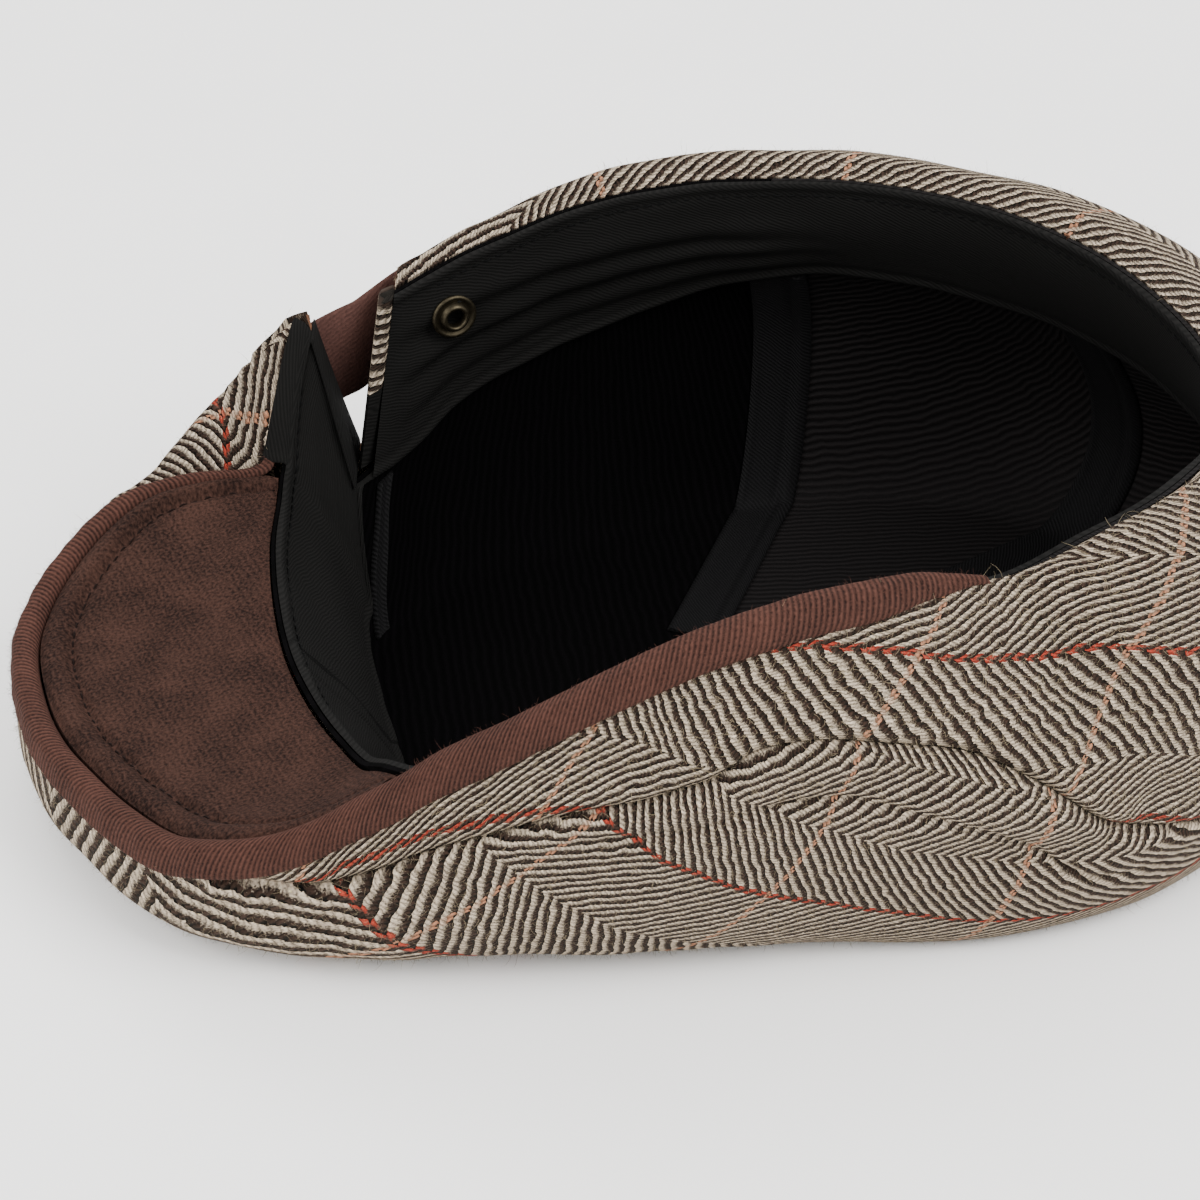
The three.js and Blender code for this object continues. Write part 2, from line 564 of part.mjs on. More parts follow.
function sidePanel(from, to) {
  const outer = [];
  const inner = [];
  for (const turn of turns(from, to)) {
    const line = wallLine(turn);
    const rows = sideRows(line, line.depth);
    outer.push(rows.map((s) => tweedPoint(line, turn, s, 0)));
    inner.push(rows.map((s) => tweedPoint(line, turn, s, TWEED)));
  }
  return solid(shell(outer, inner, false));
}

function topPanel() {
  const outer = [];
  const inner = [];
  const step = 0.2;
  const around = [
    ...turns(SIDE_START, SIDE_END),
    SIDE_END + step,
    ...turns(SIDE_END + 2, 360 + SIDE_START - 2),
    360 + SIDE_START - step,
  ];
  for (const turn of around) {
    const line = wallLine(turn);
    const sided = turn <= SIDE_END;
    const start = sided ? line.depth + GAP : 0;
    const rowsOut = [];
    const rowsIn = [];
    for (let k = 0; k < 6; k += 1) {
      const s = start + ((line.total - start) * k) / 6;
      rowsOut.push(tweedPoint(line, turn, s, 0));
      rowsIn.push(tweedPoint(line, turn, s, TWEED));
    }
    const foot = line.points[line.points.length - 1][0];
    rowsOut.push(spot(turn, foot, 0), [0, 0, 0]);
    rowsIn.push(spot(turn, foot, TWEED), [0, 0, TWEED]);
    outer.push(rowsOut);
    inner.push(rowsIn);
  }
  return solid(shell(outer, inner, true));
}

function bowlTurns() {
  return turns(0, 360, BOWL_STEP).slice(0, -1);
}

// The lining's drawn depths, with the rim of the floor as the last.
function liningRows(line) {
  const rows = bandRows(line);
  for (let k = 1; k <= 4; k += 1) {
    rows.push(line.band + ((line.total - line.band) * k) / 4);
  }
  return rows;
}

function liningBowl() {
  const outer = [];
  const inner = [];
  const floor = TWEED + GAP;
  for (const turn of bowlTurns()) {
    const line = bowlLine(turn);
    const rows = liningRows(line).slice(0, -1);
    const foot = line.points[line.points.length - 1][0];
    outer.push([
      ...rows.map((s) => bowlPoint(line, turn, s, 0)),
      spot(turn, foot, floor),
      [0, 0, floor],
    ]);
    inner.push([
      ...rows.map((s) => bowlPoint(line, turn, s, LINING)),
      spot(turn, foot, floor + LINING),
      [0, 0, floor + LINING],
    ]);
  }
  return solid(shell(outer, inner, true));
}

function sweatband() {
  const outer = [];
  const inner = [];
  const back = LINING + GAP;
  for (const turn of bowlTurns()) {
    const line = bowlLine(turn);
    const rows = bandRows(line);
    outer.push(rows.map((s) => bowlPoint(line, turn, s, back)));
    inner.push(rows.map((s) => bowlPoint(line, turn, s, back + SWEATBAND)));
  }
  return solid(shell(outer, inner, true));
}

// One gore's wedge from the tip radius outward, drawn in by a margin at its sides and tip.
function goreWedge(gore, margin) {
  const corners = [];
  for (const z of [-5, 130]) {
    for (const turn of [gore.from, gore.to]) {
      const sign = turn === gore.from ? 1 : -1;
      for (const radius of [GORE_TIP + margin, 230]) {
        const shift = sign * margin;
        const p = spot(turn, radius, z);
        corners.push([p[0] + shift * Math.sin(rad(turn)), p[1] - shift * Math.cos(rad(turn)), z]);
      }
    }
  }
  return wasm.Manifold.hull(corners);
}

// Point at a distance across the notch, a distance through the wall and a height.
function notchSpot(at, through, z) {
  const { x, y } = NOTCH.through;
  return [at * y + through * x, through * y - at * x, z];
}

// Place of the notch's right side at a height.
function notchRight(z) {
  const u = (z - NOTCH.bottomZ) / (NOTCH.topZ - NOTCH.bottomZ);
  return NOTCH.right.bottomAt + (NOTCH.right.topAt - NOTCH.right.bottomAt) * u;
}

// Wedge of the notch, wider at its right side by the facing sewn on there.
function notchWedge() {
  const facing = FACING_WIDTH + GAP;
  const corners = [];
  for (const through of [NOTCH.near, NOTCH.far]) {
    corners.push(notchSpot(NOTCH.left.topAt, through, NOTCH.topZ));
    corners.push(notchSpot(NOTCH.left.bottomAt, through, NOTCH.bottomZ));
    corners.push(notchSpot(NOTCH.right.bottomAt + facing, through, NOTCH.bottomZ));
    corners.push(notchSpot(NOTCH.right.topAt + facing, through, NOTCH.topZ));
  }
  return wasm.Manifold.hull(corners);
}

// Radius at which a section line passes a height on its way down the wall.
function radiusAt(line, z) {
  let radius = line.points[0][0];
  for (const p of line.points) {
    if (p[1] >= z) {
      radius = p[0];
    }
  }
  return radius;
}

// Tweed turned in round the right side of the notch.
function notchFacing() {
  const rings = [];
  const bottom = NOTCH.bottomZ + 1;
  const top = 76.5;
  for (let k = 0; k <= 8; k += 1) {
    const z = bottom + ((top - bottom) * k) / 8;
    const left = notchRight(z);
    const ring = [];
    const put = (at, side, shift) => {
      const from = radiusAt(side(301), z) + shift;
      ring.push(notchSpot(at, Math.sqrt(from * from - at * at), z));
    };
    const inside = -LINING - GAP - SWEATBAND - 0.3;
    put(left + 0.5, bowlLine, inside);
    put(left, bowlLine, inside + 0.9);
    put(left, wallLine, -0.6);
    put(left + 0.5, wallLine, 0.2);
    put(left + FACING_WIDTH - 0.5, wallLine, 0.2);
    put(left + FACING_WIDTH, wallLine, -0.6);
    put(left + FACING_WIDTH, bowlLine, inside + 0.9);
    put(left + FACING_WIDTH - 0.5, bowlLine, inside);
    rings.push(ring);
  }
  return solid(tube(rings));
}

function peak() {
  const outer = [];
  const inner = [];
  const steps = 4;
  for (const turn of turns(PEAK_START, PEAK_END)) {
    const w = wallAt(turn);
    const b = bowlAt(turn);
    const band = bandAt(turn);
    const r0 = b.openR + GAP + 0.1;
    const r1 = w.edgeR - band.reach - GAP - 0.35;
    const z1 = w.edgeZ + band.roll * 0.78;
    const top = [];
    const under = [];
    for (let k = 0; k <= steps; k += 1) {
      const u = k / steps;
      const r = r0 + (r1 - r0) * u;
      const z = b.openZ + (z1 - b.openZ) * u - 0.8 * Math.sin(Math.PI * u);
      top.push(spot(turn, r, z));
      under.push(spot(turn, r, z - PEAK_BOARD));
    }
    outer.push(top);
    inner.push(under);
  }
  return solid(shell(outer, inner, false));
}

// The bound edge: a roll over the top of the wall with a leg down its outside.
function edgeBand() {
  const rings = [];
  for (const turn of turns(BAND_START, BAND_END, 5)) {
    const w = wallAt(turn);
    const line = wallLine(turn);
    const b = bandAt(turn);
    const lean = rad(b.lean);
    const down = [Math.cos(lean), -Math.sin(lean)];
    const out = [Math.sin(lean), Math.cos(lean)];
    const ring = [
      [-GAP, -b.reach],
      [-0.5 * b.roll, -b.reach - 0.1],
      [-0.86 * b.roll, -0.8 * b.reach],
      [-b.roll, -0.4 * b.reach],
      [-0.86 * b.roll, 0.1 * b.swell],
      [-0.4 * b.roll, 0.8 * b.swell],
      [0.12 * b.leg, b.swell],
      [0.5 * b.leg, b.swell],
      [0.85 * b.leg, 0.3 + (b.swell - 0.3) * 0.7],
      [b.leg, 0.45],
      [Math.max(0.6 * b.leg, b.leg - 1), GAP],
      [-GAP, GAP],
    ];
    rings.push(ring.map(([s, n]) => {
      if (s <= 0) {
        const r = w.edgeR + down[0] * s + out[0] * n;
        return spot(turn, r, w.edgeZ + down[1] * s + out[1] * n);
      }
      const p = pointAt(line, s);
      const away = normalAt(line, s);
      return spot(turn, p[0] + away[0] * n, p[1] + away[1] * n);
    }));
  }
  return solid(tube(rings));
}

// The layer that the tapes are cut from: it covers the lining below the sweatband.
function tapeLayer() {
  const outer = [];
  const inner = [];
  const lift = LINING + GAP;
  const floor = TWEED + GAP + lift;
  for (const turn of bowlTurns()) {
    const line = bowlLine(turn);
    const rows = [line.band + 2 * GAP, ...liningRows(line).slice(4, -1)];
    const foot = line.points[line.points.length - 1][0];
    outer.push([
      ...rows.map((s) => bowlPoint(line, turn, s, lift)),
      spot(turn, foot, floor),
      [0, 0, floor],
    ]);
    inner.push([
      ...rows.map((s) => bowlPoint(line, turn, s, lift + TAPE_THICK)),
      spot(turn, foot, floor + TAPE_THICK),
      [0, 0, floor + TAPE_THICK],
    ]);
  }
  return solid(shell(outer, inner, true));
}

// Tape over a seam of the lining, from near the middle of the floor up to the sweatband.
function seamTape(layer, turn) {
  const corners = [];
  for (const z of [-5, 130]) {
    for (const across of [-TAPE_WIDTH / 2, TAPE_WIDTH / 2]) {
      for (const radius of [TAPE_TIP, 230]) {
        const p = spot(turn, radius, z);
        corners.push([p[0] + across * Math.sin(rad(turn)), p[1] - across * Math.cos(rad(turn)), z]);
      }
    }
  }
  return layer.intersect(wasm.Manifold.hull(corners));
}

// Adjuster strap passing outside the notch.
function strap() {
  const rings = [];
  for (let turn = 291; turn <= 317; turn += 2) {
    const line = wallLine(turn);
    const middle = 60.5 + (308 - turn) * 0.3 - Math.max(0, turn - 311);
    const low = middle - STRAP_WIDTH / 2;
    const high = middle + STRAP_WIDTH / 2;
    let radius = 0;
    for (const p of line.points) {
      if (p[1] > low - 4) {
        radius = Math.max(radius, p[0]);
      }
    }
    const r = radius + 0.8;
    rings.push([
      spot(turn, r, low),
      spot(turn, r, high),
      spot(turn, r + STRAP_THICK * 0.6, high + 0.5),
      spot(turn, r + STRAP_THICK, high - 0.6),
      spot(turn, r + STRAP_THICK, low + 0.6),
      spot(turn, r + STRAP_THICK * 0.6, low - 0.5),
    ]);
  }
  return solid(tube(rings));
}

// Flanged ring with a hole, standing on the inside of the sweatband.
function ringSnap() {
  const turn = 291.5;
  const depth = 13;
  const face = LINING + GAP + SWEATBAND;
  const on = (t, s) => new THREE.Vector3(...bowlPoint(bowlLine(t), t, s, face));
  const round = on(turn + 2, depth).sub(on(turn - 2, depth));
  const down = on(turn, depth + 2).sub(on(turn, depth - 2));
  const axis = round.cross(down).normalize();
  const seat = on(turn, depth);
  if (axis.x * seat.x + axis.y * seat.y > 0) {
    axis.negate();
  }
  seat.addScaledVector(axis, GAP + 0.25);
  const profile = [
    [RING_HOLE, 0],
    [RING_RADIUS - 0.4, 0],
    [RING_RADIUS, 0.5],
    [RING_RADIUS - 0.7, 1.1],
    [RING_RADIUS - 1.9, 0.8],
    [RING_HOLE + 1.3, RING_HEIGHT - 0.3],
    [RING_HOLE + 0.6, RING_HEIGHT],
    [RING_HOLE, RING_HEIGHT - 0.5],
  ];
  const turnTo = new THREE.Quaternion().setFromUnitVectors(new THREE.Vector3(0, 0, 1), axis);
  const rings = [];
  const count = 22;
  for (let k = 0; k < count; k += 1) {
    const angle = (2 * Math.PI * k) / count;
    rings.push(profile.map(([r, h]) => {
      const v = new THREE.Vector3(r * Math.cos(angle), r * Math.sin(angle), h);
      return v.applyQuaternion(turnTo).add(seat).toArray();
    }));
  }
  const size = profile.length;
  const faces = [];
  for (let i = 0; i < count; i += 1) {
    const a = i * size;
    const b = ((i + 1) % count) * size;
    for (let j = 0; j < size; j += 1) {
      const k = (j + 1) % size;
      faces.push([a + j, a + k, b + k]);
      faces.push([a + j, b + k, b + j]);
    }
  }
  return solid({ points: rings.flat(), faces });
}

const FINISH = {
  tweed: { color: 0x8a7d6f, roughness: 0.95, metalness: 0 },
  brushed: { color: 0x4a312a, roughness: 0.95, metalness: 0 },
  band: { color: 0x553630, roughness: 0.9, metalness: 0 },
  twill: { color: 0x121113, roughness: 0.8, metalness: 0 },
  cotton: { color: 0x1e1e1d, roughness: 0.9, metalness: 0 },
  brass: { color: 0x5c5344, roughness: 0.45, metalness: 1 },
};

function piece(name, manifold, finish) {
  const mesh = new THREE.Mesh(geometryOf(manifold), new THREE.MeshStandardMaterial(FINISH[finish]));
  mesh.name = name;
  return mesh;
}

const cap = new THREE.Group();
cap.name = 'flat_cap';

const notch = notchWedge();
const bowl = liningBowl();
let front = bowl.subtract(notch);
for (const gore of GORES) {
  front = front.subtract(goreWedge(gore, 0));
}

cap.add(piece('top_panel', topPanel(), 'tweed'));
cap.add(piece('side_panel_right', sidePanel(SIDE_START, BACK_SEAM - 0.1), 'tweed'));
cap.add(piece('side_panel_left', mainBody(sidePanel(BACK_SEAM + 0.1, SIDE_END).subtract(notch)), 'tweed'));
cap.add(piece('notch_facing', notchFacing(), 'tweed'));
cap.add(piece('peak', peak(), 'brushed'));
cap.add(piece('edge_band', edgeBand(), 'band'));
cap.add(piece('lining_front', mainBody(front), 'twill'));
for (const gore of GORES) {
  cap.add(piece(gore.name, bowl.intersect(goreWedge(gore, GAP)), 'twill'));
}
const layer = tapeLayer();
for (const tape of TAPES) {
  cap.add(piece(tape.name, seamTape(layer, tape.turn), 'twill'));
}
cap.add(piece('sweatband', mainBody(sweatband().subtract(notch)), 'cotton'));
cap.add(piece('adjuster_strap', strap(), 'brushed'));
cap.add(piece('ring_snap', ringSnap(), 'brass'));

export default cap;
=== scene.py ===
"""Looks of a herringbone tweed flat cap that lies upside down on its crown.

The cap's walls are drawn from the same tables of sections as its solids, in millimetres, and
are dressed in woven, brushed and twilled cloth. The peak points along -X, the near ear is on
-Y, the far ear with its adjuster notch on +Y, and +Z is up.
"""

from __future__ import annotations

import logging
import math
from dataclasses import dataclass
from enum import Enum
from functools import cache
from typing import Sequence

import bpy
import numpy as np
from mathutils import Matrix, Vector


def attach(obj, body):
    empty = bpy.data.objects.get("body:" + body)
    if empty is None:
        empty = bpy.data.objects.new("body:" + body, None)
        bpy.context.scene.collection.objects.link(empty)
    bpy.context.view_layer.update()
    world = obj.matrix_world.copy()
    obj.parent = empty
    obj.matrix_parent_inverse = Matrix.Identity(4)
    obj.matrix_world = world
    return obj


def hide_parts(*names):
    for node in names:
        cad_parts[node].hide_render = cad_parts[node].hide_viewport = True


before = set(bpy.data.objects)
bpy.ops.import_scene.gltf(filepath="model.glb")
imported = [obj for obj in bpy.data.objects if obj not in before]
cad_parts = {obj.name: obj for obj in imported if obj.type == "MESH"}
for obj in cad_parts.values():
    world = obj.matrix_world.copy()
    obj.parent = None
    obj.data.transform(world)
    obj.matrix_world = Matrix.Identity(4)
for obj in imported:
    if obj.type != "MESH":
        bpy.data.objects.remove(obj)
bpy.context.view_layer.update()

LOG = logging.getLogger("flat_cap")

# Rows of sizes, such as ridges or folds, and rows of a finish.
Sizes = tuple[tuple[float, ...], ...]
Rows = tuple[tuple, ...]

GRAIN_LAYER = "grain"
MM = 0.001
TINY = 1e-9
FULL_TURN = 360.0
SHARP_ANGLE = math.radians(70)

# Half the reach over which a wall's normal is measured, and about how far one degree of turn
# goes along a wall, in millimetres.
NORMAL_REACH = 0.6
MM_PER_DEGREE = 1.6

# Steps of the section lines over the edge, down the side and under the belly.
ROLL_STEPS, SIDE_STEPS, BELLY_STEPS = 12, 24, 20

# Cloth thicknesses, clearances and strip widths, in millimetres.
TWEED = 1.8
LINING = 1.0
SWEATBAND = 1.2
PEAK_BOARD = 3.0
GAP = 0.3
TAPE_WIDTH = 13.0
TAPE_THICK = 0.7
STRAP_WIDTH = 23.0
STRAP_THICK = 1.6
FACING_WIDTH = 3.2

# Turns, in degrees, between which the sewn pieces run.
SIDE_START, SIDE_END, BACK_SEAM, SEAM_HALF = 35.0, 333.0, 180.0, 0.1
PEAK_START, PEAK_END = 323.5, 404.5
BAND_START, BAND_END = 321.5, 485.0
FRONT_START, FRONT_END = 239.0, 481.0
GORES = (("right", 121.0, 157.0), ("back", 157.0, 203.0), ("left", 203.0, 239.0))
TAPES = (("right", 121.0), ("back_right", 157.0), ("back_left", 203.0), ("left", 239.0))
TAPE_TIP = 34.0

# Tweed wall: turn, edge radius and height, out and up to the crest, lean as it leaves the
# crest, widest radius and height, radius of the flat it rests on, depth of the side panel.
WALL_KEYS = (
    "turn", "edge_r", "edge_z", "out", "up", "lean", "wide_r", "wide_z", "foot_r", "depth",
)
WALL = (
    (0, 137, 25, 0, 0, 88, 138, 15, 117, 0),
    (6, 134.5, 24.5, 0, 0, 88, 135.5, 14, 115, 0),
    (12, 131, 24.5, 0, 0, 87, 131.5, 13, 112, 0),
    (19, 128, 25.5, 0, 0, 87, 128.5, 13, 108, 0),
    (25, 125.5, 27, 0, 0, 88, 125, 13, 104, 0),
    (31, 121.5, 31.5, 0, 0, 90, 119.5, 14, 96, 3),
    (35, 116, 34.5, 0, 0, 90, 115, 15, 92, 6),
    (39, 109.5, 39.5, 0, 0, 86, 110.5, 17, 87, 11),
    (43, 103.5, 46.2, 0, 0, 82, 106.5, 19, 82.5, 15),
    (47.5, 98, 52.8, 0, 0, 78, 103, 22, 78, 17.3),
    (51, 93.5, 57.8, 0, 0, 74, 100.5, 24, 74, 18.8),
    (58, 89, 65.1, 0, 0, 70, 97, 29, 69.5, 21.1),
    (64, 86.5, 71.2, 0, 0, 68, 94.5, 34, 68, 23.2),
    (70, 84, 76.4, 0, 0, 67, 93, 39, 67.5, 25.4),
    (77, 82, 81.5, 0, 0, 66, 92, 44, 67, 28),
    (84, 80.5, 85.3, 0, 0, 66, 92, 48, 67.5, 28.3),
    (91, 80, 88, 0, 0, 65, 92.5, 50, 69, 25),
    (99, 80, 89.8, 0, 0, 64, 94, 51, 71.5, 26.8),
    (106, 81, 90.1, 0, 0, 62, 97, 50, 76, 30.1),
    (114, 83, 89.8, 0, 0, 60, 103, 48, 84, 34.8),
    (121, 86, 87.7, 0, 0, 55, 110.5, 44, 92.5, 43.7),
    (128, 90, 84.9, 0, 0, 46, 119, 40, 100, 57.9),
    (133, 94, 85.8, 2.5, 2, 26, 124.5, 37, 106.5, 70),
    (139, 100, 88, 5, 4, 14, 131, 33, 114, 83),
    (151, 112, 90, 5.5, 4, 8, 142, 28, 123, 98),
    (165, 121, 88, 5.5, 4, 6, 149, 26, 129, 101),
    (180, 124, 86, 5.5, 4, 6, 151, 25, 131, 99),
    (195, 121, 88, 5.5, 4, 6, 149, 26, 129, 101),
    (209, 112, 92, 5.5, 4, 8, 139, 28, 121, 98),
    (221, 101, 95, 5, 4, 12, 126, 33, 111, 84),
    (232, 92, 96.5, 5, 4, 16, 114, 39, 99, 66),
    (246, 84.5, 96.5, 5, 4, 22, 102, 46, 86, 47),
    (258, 81, 95, 5, 4, 26, 95.5, 50, 77.5, 40),
    (270, 80, 92, 4.5, 4, 28, 92.5, 50, 70.5, 38),
    (280, 80.5, 88, 4, 3.5, 34, 92, 46, 68, 37),
    (290, 83, 83.5, 3.5, 2.5, 50, 92, 39, 67.5, 38),
    (296, 86, 79.5, 3, 2, 66, 91.5, 34, 68, 40),
    (301, 88.5, 76.5, 2.5, 1.5, 80, 91, 30, 69, 42),
    (307, 92, 75, 2, 1, 96, 90, 26, 70.5, 44),
    (314, 95.5, 76, 1.5, 1.5, 102, 91, 23, 74, 48),
    (317, 96.5, 66, 5.5, 5.5, 86, 97, 21, 77, 50),
    (319.5, 97, 54, 10, 9, 62, 105, 20, 80, 48),
    (322, 98, 43.5, 14.5, 11, 44, 112, 18, 85, 42),
    (325, 104, 41, 13, 7, 46, 118, 17, 92, 30),
    (328, 113, 39.5, 8, 3, 58, 122, 15, 99, 18),
    (332, 123, 38, 3.5, 0.8, 72, 126, 14, 103, 7),
    (336, 129, 35, 1, 0.2, 80, 130, 14, 106, 3),
    (341, 134, 31.5, 0, 0, 85, 134.5, 13, 109, 0),
    (346, 137.5, 28.5, 0, 0, 87, 138, 13, 112, 0),
    (351, 139, 26.5, 0, 0, 88, 139.5, 14, 115, 0),
)

# Lining bowl: turn, open edge, widest point, radius of the floor, width of the sweatband.
BOWL_KEYS = ("turn", "open_r", "open_z", "wide_r", "wide_z", "floor_r", "band")
BOWL = (
    (0, 80.5, 36.5, 66, 16, 55, 40),
    (10, 80, 36, 66, 16, 55, 40),
    (25, 81.5, 36.8, 71, 17, 58, 40),
    (33, 84.5, 39.5, 78, 19, 63, 39),
    (40, 88.5, 46.5, 86, 21, 68, 38),
    (47.5, 91, 51.8, 93, 24, 71, 38),
    (51, 90.6, 55.4, 94, 25, 70, 38),
    (58, 86.8, 63.6, 92.5, 29, 67, 38),
    (64, 84.4, 69.6, 90.5, 34, 65.5, 38),
    (77, 79.8, 79.7, 88.3, 44, 64.5, 38),
    (91, 77.8, 86.2, 88.8, 50, 66.5, 38),
    (106, 78.8, 88.3, 93, 50, 73.5, 37),
    (121, 83.7, 85.7, 106.5, 44, 89.5, 35),
    (128, 88.5, 82.9, 115, 40, 97, 34),
    (139, 99.4, 88, 127, 33, 111, 32),
    (151, 111.4, 90, 138, 28, 120, 31),
    (165, 120.4, 88, 145, 26, 126, 30),
    (180, 123.4, 86, 147, 25, 128, 30),
    (195, 120.4, 88, 145, 26, 126, 30),
    (209, 111.4, 92, 135, 28, 118, 30),
    (221, 100.4, 95, 122, 33, 108, 29),
    (232, 91.4, 96.5, 110, 39, 96, 29),
    (246, 83.9, 96.5, 98, 46, 83, 33),
    (258, 80.4, 95, 91.5, 50, 75, 38),
    (270, 79.4, 92, 88.5, 50, 68, 41),
    (280, 79.9, 88, 88, 46, 65.5, 42),
    (290, 82.4, 83.5, 87.5, 39, 65, 42),
    (296, 85.2, 79.5, 86, 35, 65.5, 42),
    (301, 87.6, 76.5, 84.5, 33, 66, 41),
    (307, 90.6, 75, 81.5, 32, 66, 40),
    (314, 93.8, 75, 79.5, 31, 66.5, 40),
    (317, 94.5, 65, 79.5, 29, 67, 40),
    (319.5, 94, 54, 79.5, 27, 67, 40),
    (322, 92.8, 44.3, 79.5, 25, 67, 40),
    (329, 88.5, 42.5, 75, 21, 65.5, 40),
    (337, 85.5, 41, 70.5, 19, 61, 40),
    (345, 83, 39.2, 67.5, 17, 57.5, 40),
    (353, 81.3, 37.5, 66, 16, 55.5, 40),
)

# Rolled edge band: turn, rise over the edge, reach over the wall's top, leg down the
# outside, swell and lean.
BAND_KEYS = ("turn", "roll", "reach", "leg", "swell", "lean")
BAND = (
    (321.5, 1.6, 2.8, -0.1, -0.35, 90),
    (328, 5.5, 4.8, -0.1, -0.35, 90),
    (340, 6, 5.4, -0.1, -0.2, 90),
    (350, 6, 5.5, 1.2, 0.9, 90),
    (360, 6, 5.5, 2, 1, 90),
    (380, 6, 5.5, 2.4, 1.2, 89),
    (391, 5.8, 5.2, 3, 1.5, 88),
    (398, 5, 4.4, 5, 2, 84),
    (404, 4, 3.2, 6.8, 2.4, 79),
    (411, 3.2, 2.3, 8, 2.9, 74),
    (424, 2.8, 2.2, 7.4, 2.8, 68),
    (451, 2.6, 2.2, 6.3, 2.7, 65),
    (466, 2.4, 2.2, 6.2, 2.3, 62),
    (477, 1.9, 2.1, 3.8, 1.5, 57),
    (485, 1.1, 1.9, 1.2, 0.7, 48),
)

# Second, topstitched crease below the near side seam: turn, distance under the seam, strength.
CREASE_KEYS = ("turn", "below", "strength")
CREASE = (
    (0, 8, 0), (62, 6, 0), (74, 7, 0.5), (84, 10, 1), (93, 14, 1), (100, 13.5, 1), (108, 15, 1),
    (116, 17.5, 1), (124, 18, 1), (130, 14, 0.7), (138, 10, 0), (359, 8, 0),
)

# How far the grain of the near side panel has slid under its edge: turn, slide.
SLIDE_KEYS = ("turn", "slide")
SLIDE = (
    (0, -48), (60, -30), (74, -19.5), (82, -9.5), (90, -4), (100, 0.2), (110, 4.5), (117, 8.3),
    (128, 10), (138, 31), (150, 48), (180, 66), (359, 66),
)

# Dents and swellings of the tweed: turn, depth, push in, half size round, half size down.
DENTS = (
    (66, 46, 1.2, 9, 9),
    (84, 40, -1.4, 14, 6),
    (100, 38.5, 1.8, 16, 5),
    (116, 51.7, -1.6, 12, 8),
    (126, 62, 2.0, 9, 6),
    (40, 24, 1.2, 5, 9),
    (146, 40, 1.6, 12, 16),
    (205, 45, 1.8, 14, 16),
    (250, 60, 1.2, 12, 12),
)


class Table:
    """Named columns over the turn, joined by monotone cubics."""

    def __init__(
        self, keys: Sequence[str], rows: Sequence[Sequence[float]], ring: bool = True
    ) -> None:
        """Keeps the rows.

        Args:
            keys: Names of the columns, the turn first.
            rows: One row for each turn.
            ring: Whether the rows repeat a full turn each way.
        """
        data = np.array(rows, float)
        if ring:
            shift = np.zeros(data.shape[1])
            shift[0] = FULL_TURN
            data = np.concatenate([data - shift, data, data + shift])
        self.turns = data[:, 0]
        self.values = {key: data[:, k] for k, key in enumerate(keys) if k}

    def at(self, turns: np.ndarray) -> dict[str, np.ndarray]:
        """Reads every column.

        Args:
            turns: Turns in degrees.

        Returns:
            One array for each column.
        """
        t = np.clip(turns, self.turns[0], self.turns[-1])
        i = np.clip(np.searchsorted(self.turns, t, side="right") - 1, 0, len(self.turns) - 2)
        h = np.diff(self.turns)
        u = (t - self.turns[i]) / h[i]
        made = {}
        for key, y in self.values.items():
            rise = np.diff(y) / h
            product = rise[:-1] * rise[1:]
            total = np.where(product > 0, rise[:-1] + rise[1:], 1.0)
            slope = np.concatenate([[0.0], np.where(product > 0, 2 * product / total, 0.0), [0.0]])
            made[key] = (
                (2 * u**3 - 3 * u**2 + 1) * y[i]
                + (3 * u**2 - 2 * u**3) * y[i + 1]
                + ((u**3 - 2 * u**2 + u) * slope[i] + (u**3 - u**2) * slope[i + 1]) * h[i]
            )
        return made


def bezier(points: Sequence[np.ndarray], count: int) -> np.ndarray:
    """Cubic curves, one for each turn.

    Args:
        points: Four control points, each an array of shape (turns, 2).
        count: Number of steps.

    Returns:
        Array of shape (turns, count + 1, 2).
    """
    u = np.linspace(0, 1, count + 1)[None, :, None]
    a, b, c, d = (p[:, None, :] for p in points)
    return (1 - u) ** 3 * a + 3 * (1 - u) ** 2 * u * b + 3 * (1 - u) * u**2 * c + u**3 * d


def pair(first: np.ndarray, second: np.ndarray) -> np.ndarray:
    """Two coordinates, such as radii and heights, as one array of points."""
    return np.stack(np.broadcast_arrays(first, second), axis=-1)


def unit(vectors: np.ndarray) -> np.ndarray:
    """Vectors of length one."""
    return vectors / np.maximum(np.linalg.norm(vectors, axis=-1, keepdims=True), TINY)


def lengths(points: np.ndarray) -> np.ndarray:
    """Distances along lines of points.

    Args:
        points: Array of shape (..., n, 2 or 3).

    Returns:
        Array of shape (..., n) that starts from zero.
    """
    step = np.linalg.norm(np.diff(points, axis=-2), axis=-1)
    return np.concatenate([np.zeros(step.shape[:-1] + (1,)), np.cumsum(step, axis=-1)], axis=-1)


def steps_between(start: float, end: float, step: float) -> np.ndarray:
    """Even turns from one turn to another, about a step apart."""
    return np.linspace(start, end, int((end - start) / step) + 1)


def spots(turns: np.ndarray, section: np.ndarray) -> np.ndarray:
    """Turns and section points as places in space.

    Args:
        turns: Turns in degrees, one for each row.
        section: Radius and height, of shape (turns, n, 2) or (turns, 2).

    Returns:
        Array of the same shape with three coordinates, in millimetres.
    """
    t = np.radians(turns)
    if section.ndim == 3:
        t = t[:, None]
    r = section[..., 0]
    return np.stack([-r * np.cos(t), -r * np.sin(t), section[..., 1]], axis=-1)


def bump(x: np.ndarray, middle: float | np.ndarray, half: float | np.ndarray) -> np.ndarray:
    """Smooth hump of height one round a middle."""
    return np.exp(-(((x - middle) / half) ** 2))


def ridges(x: np.ndarray, rows: Sizes) -> np.ndarray:
    """Sum of humps, each given as its height, middle and half width."""
    return sum(high * bump(x, middle, half) for high, middle, half in rows)


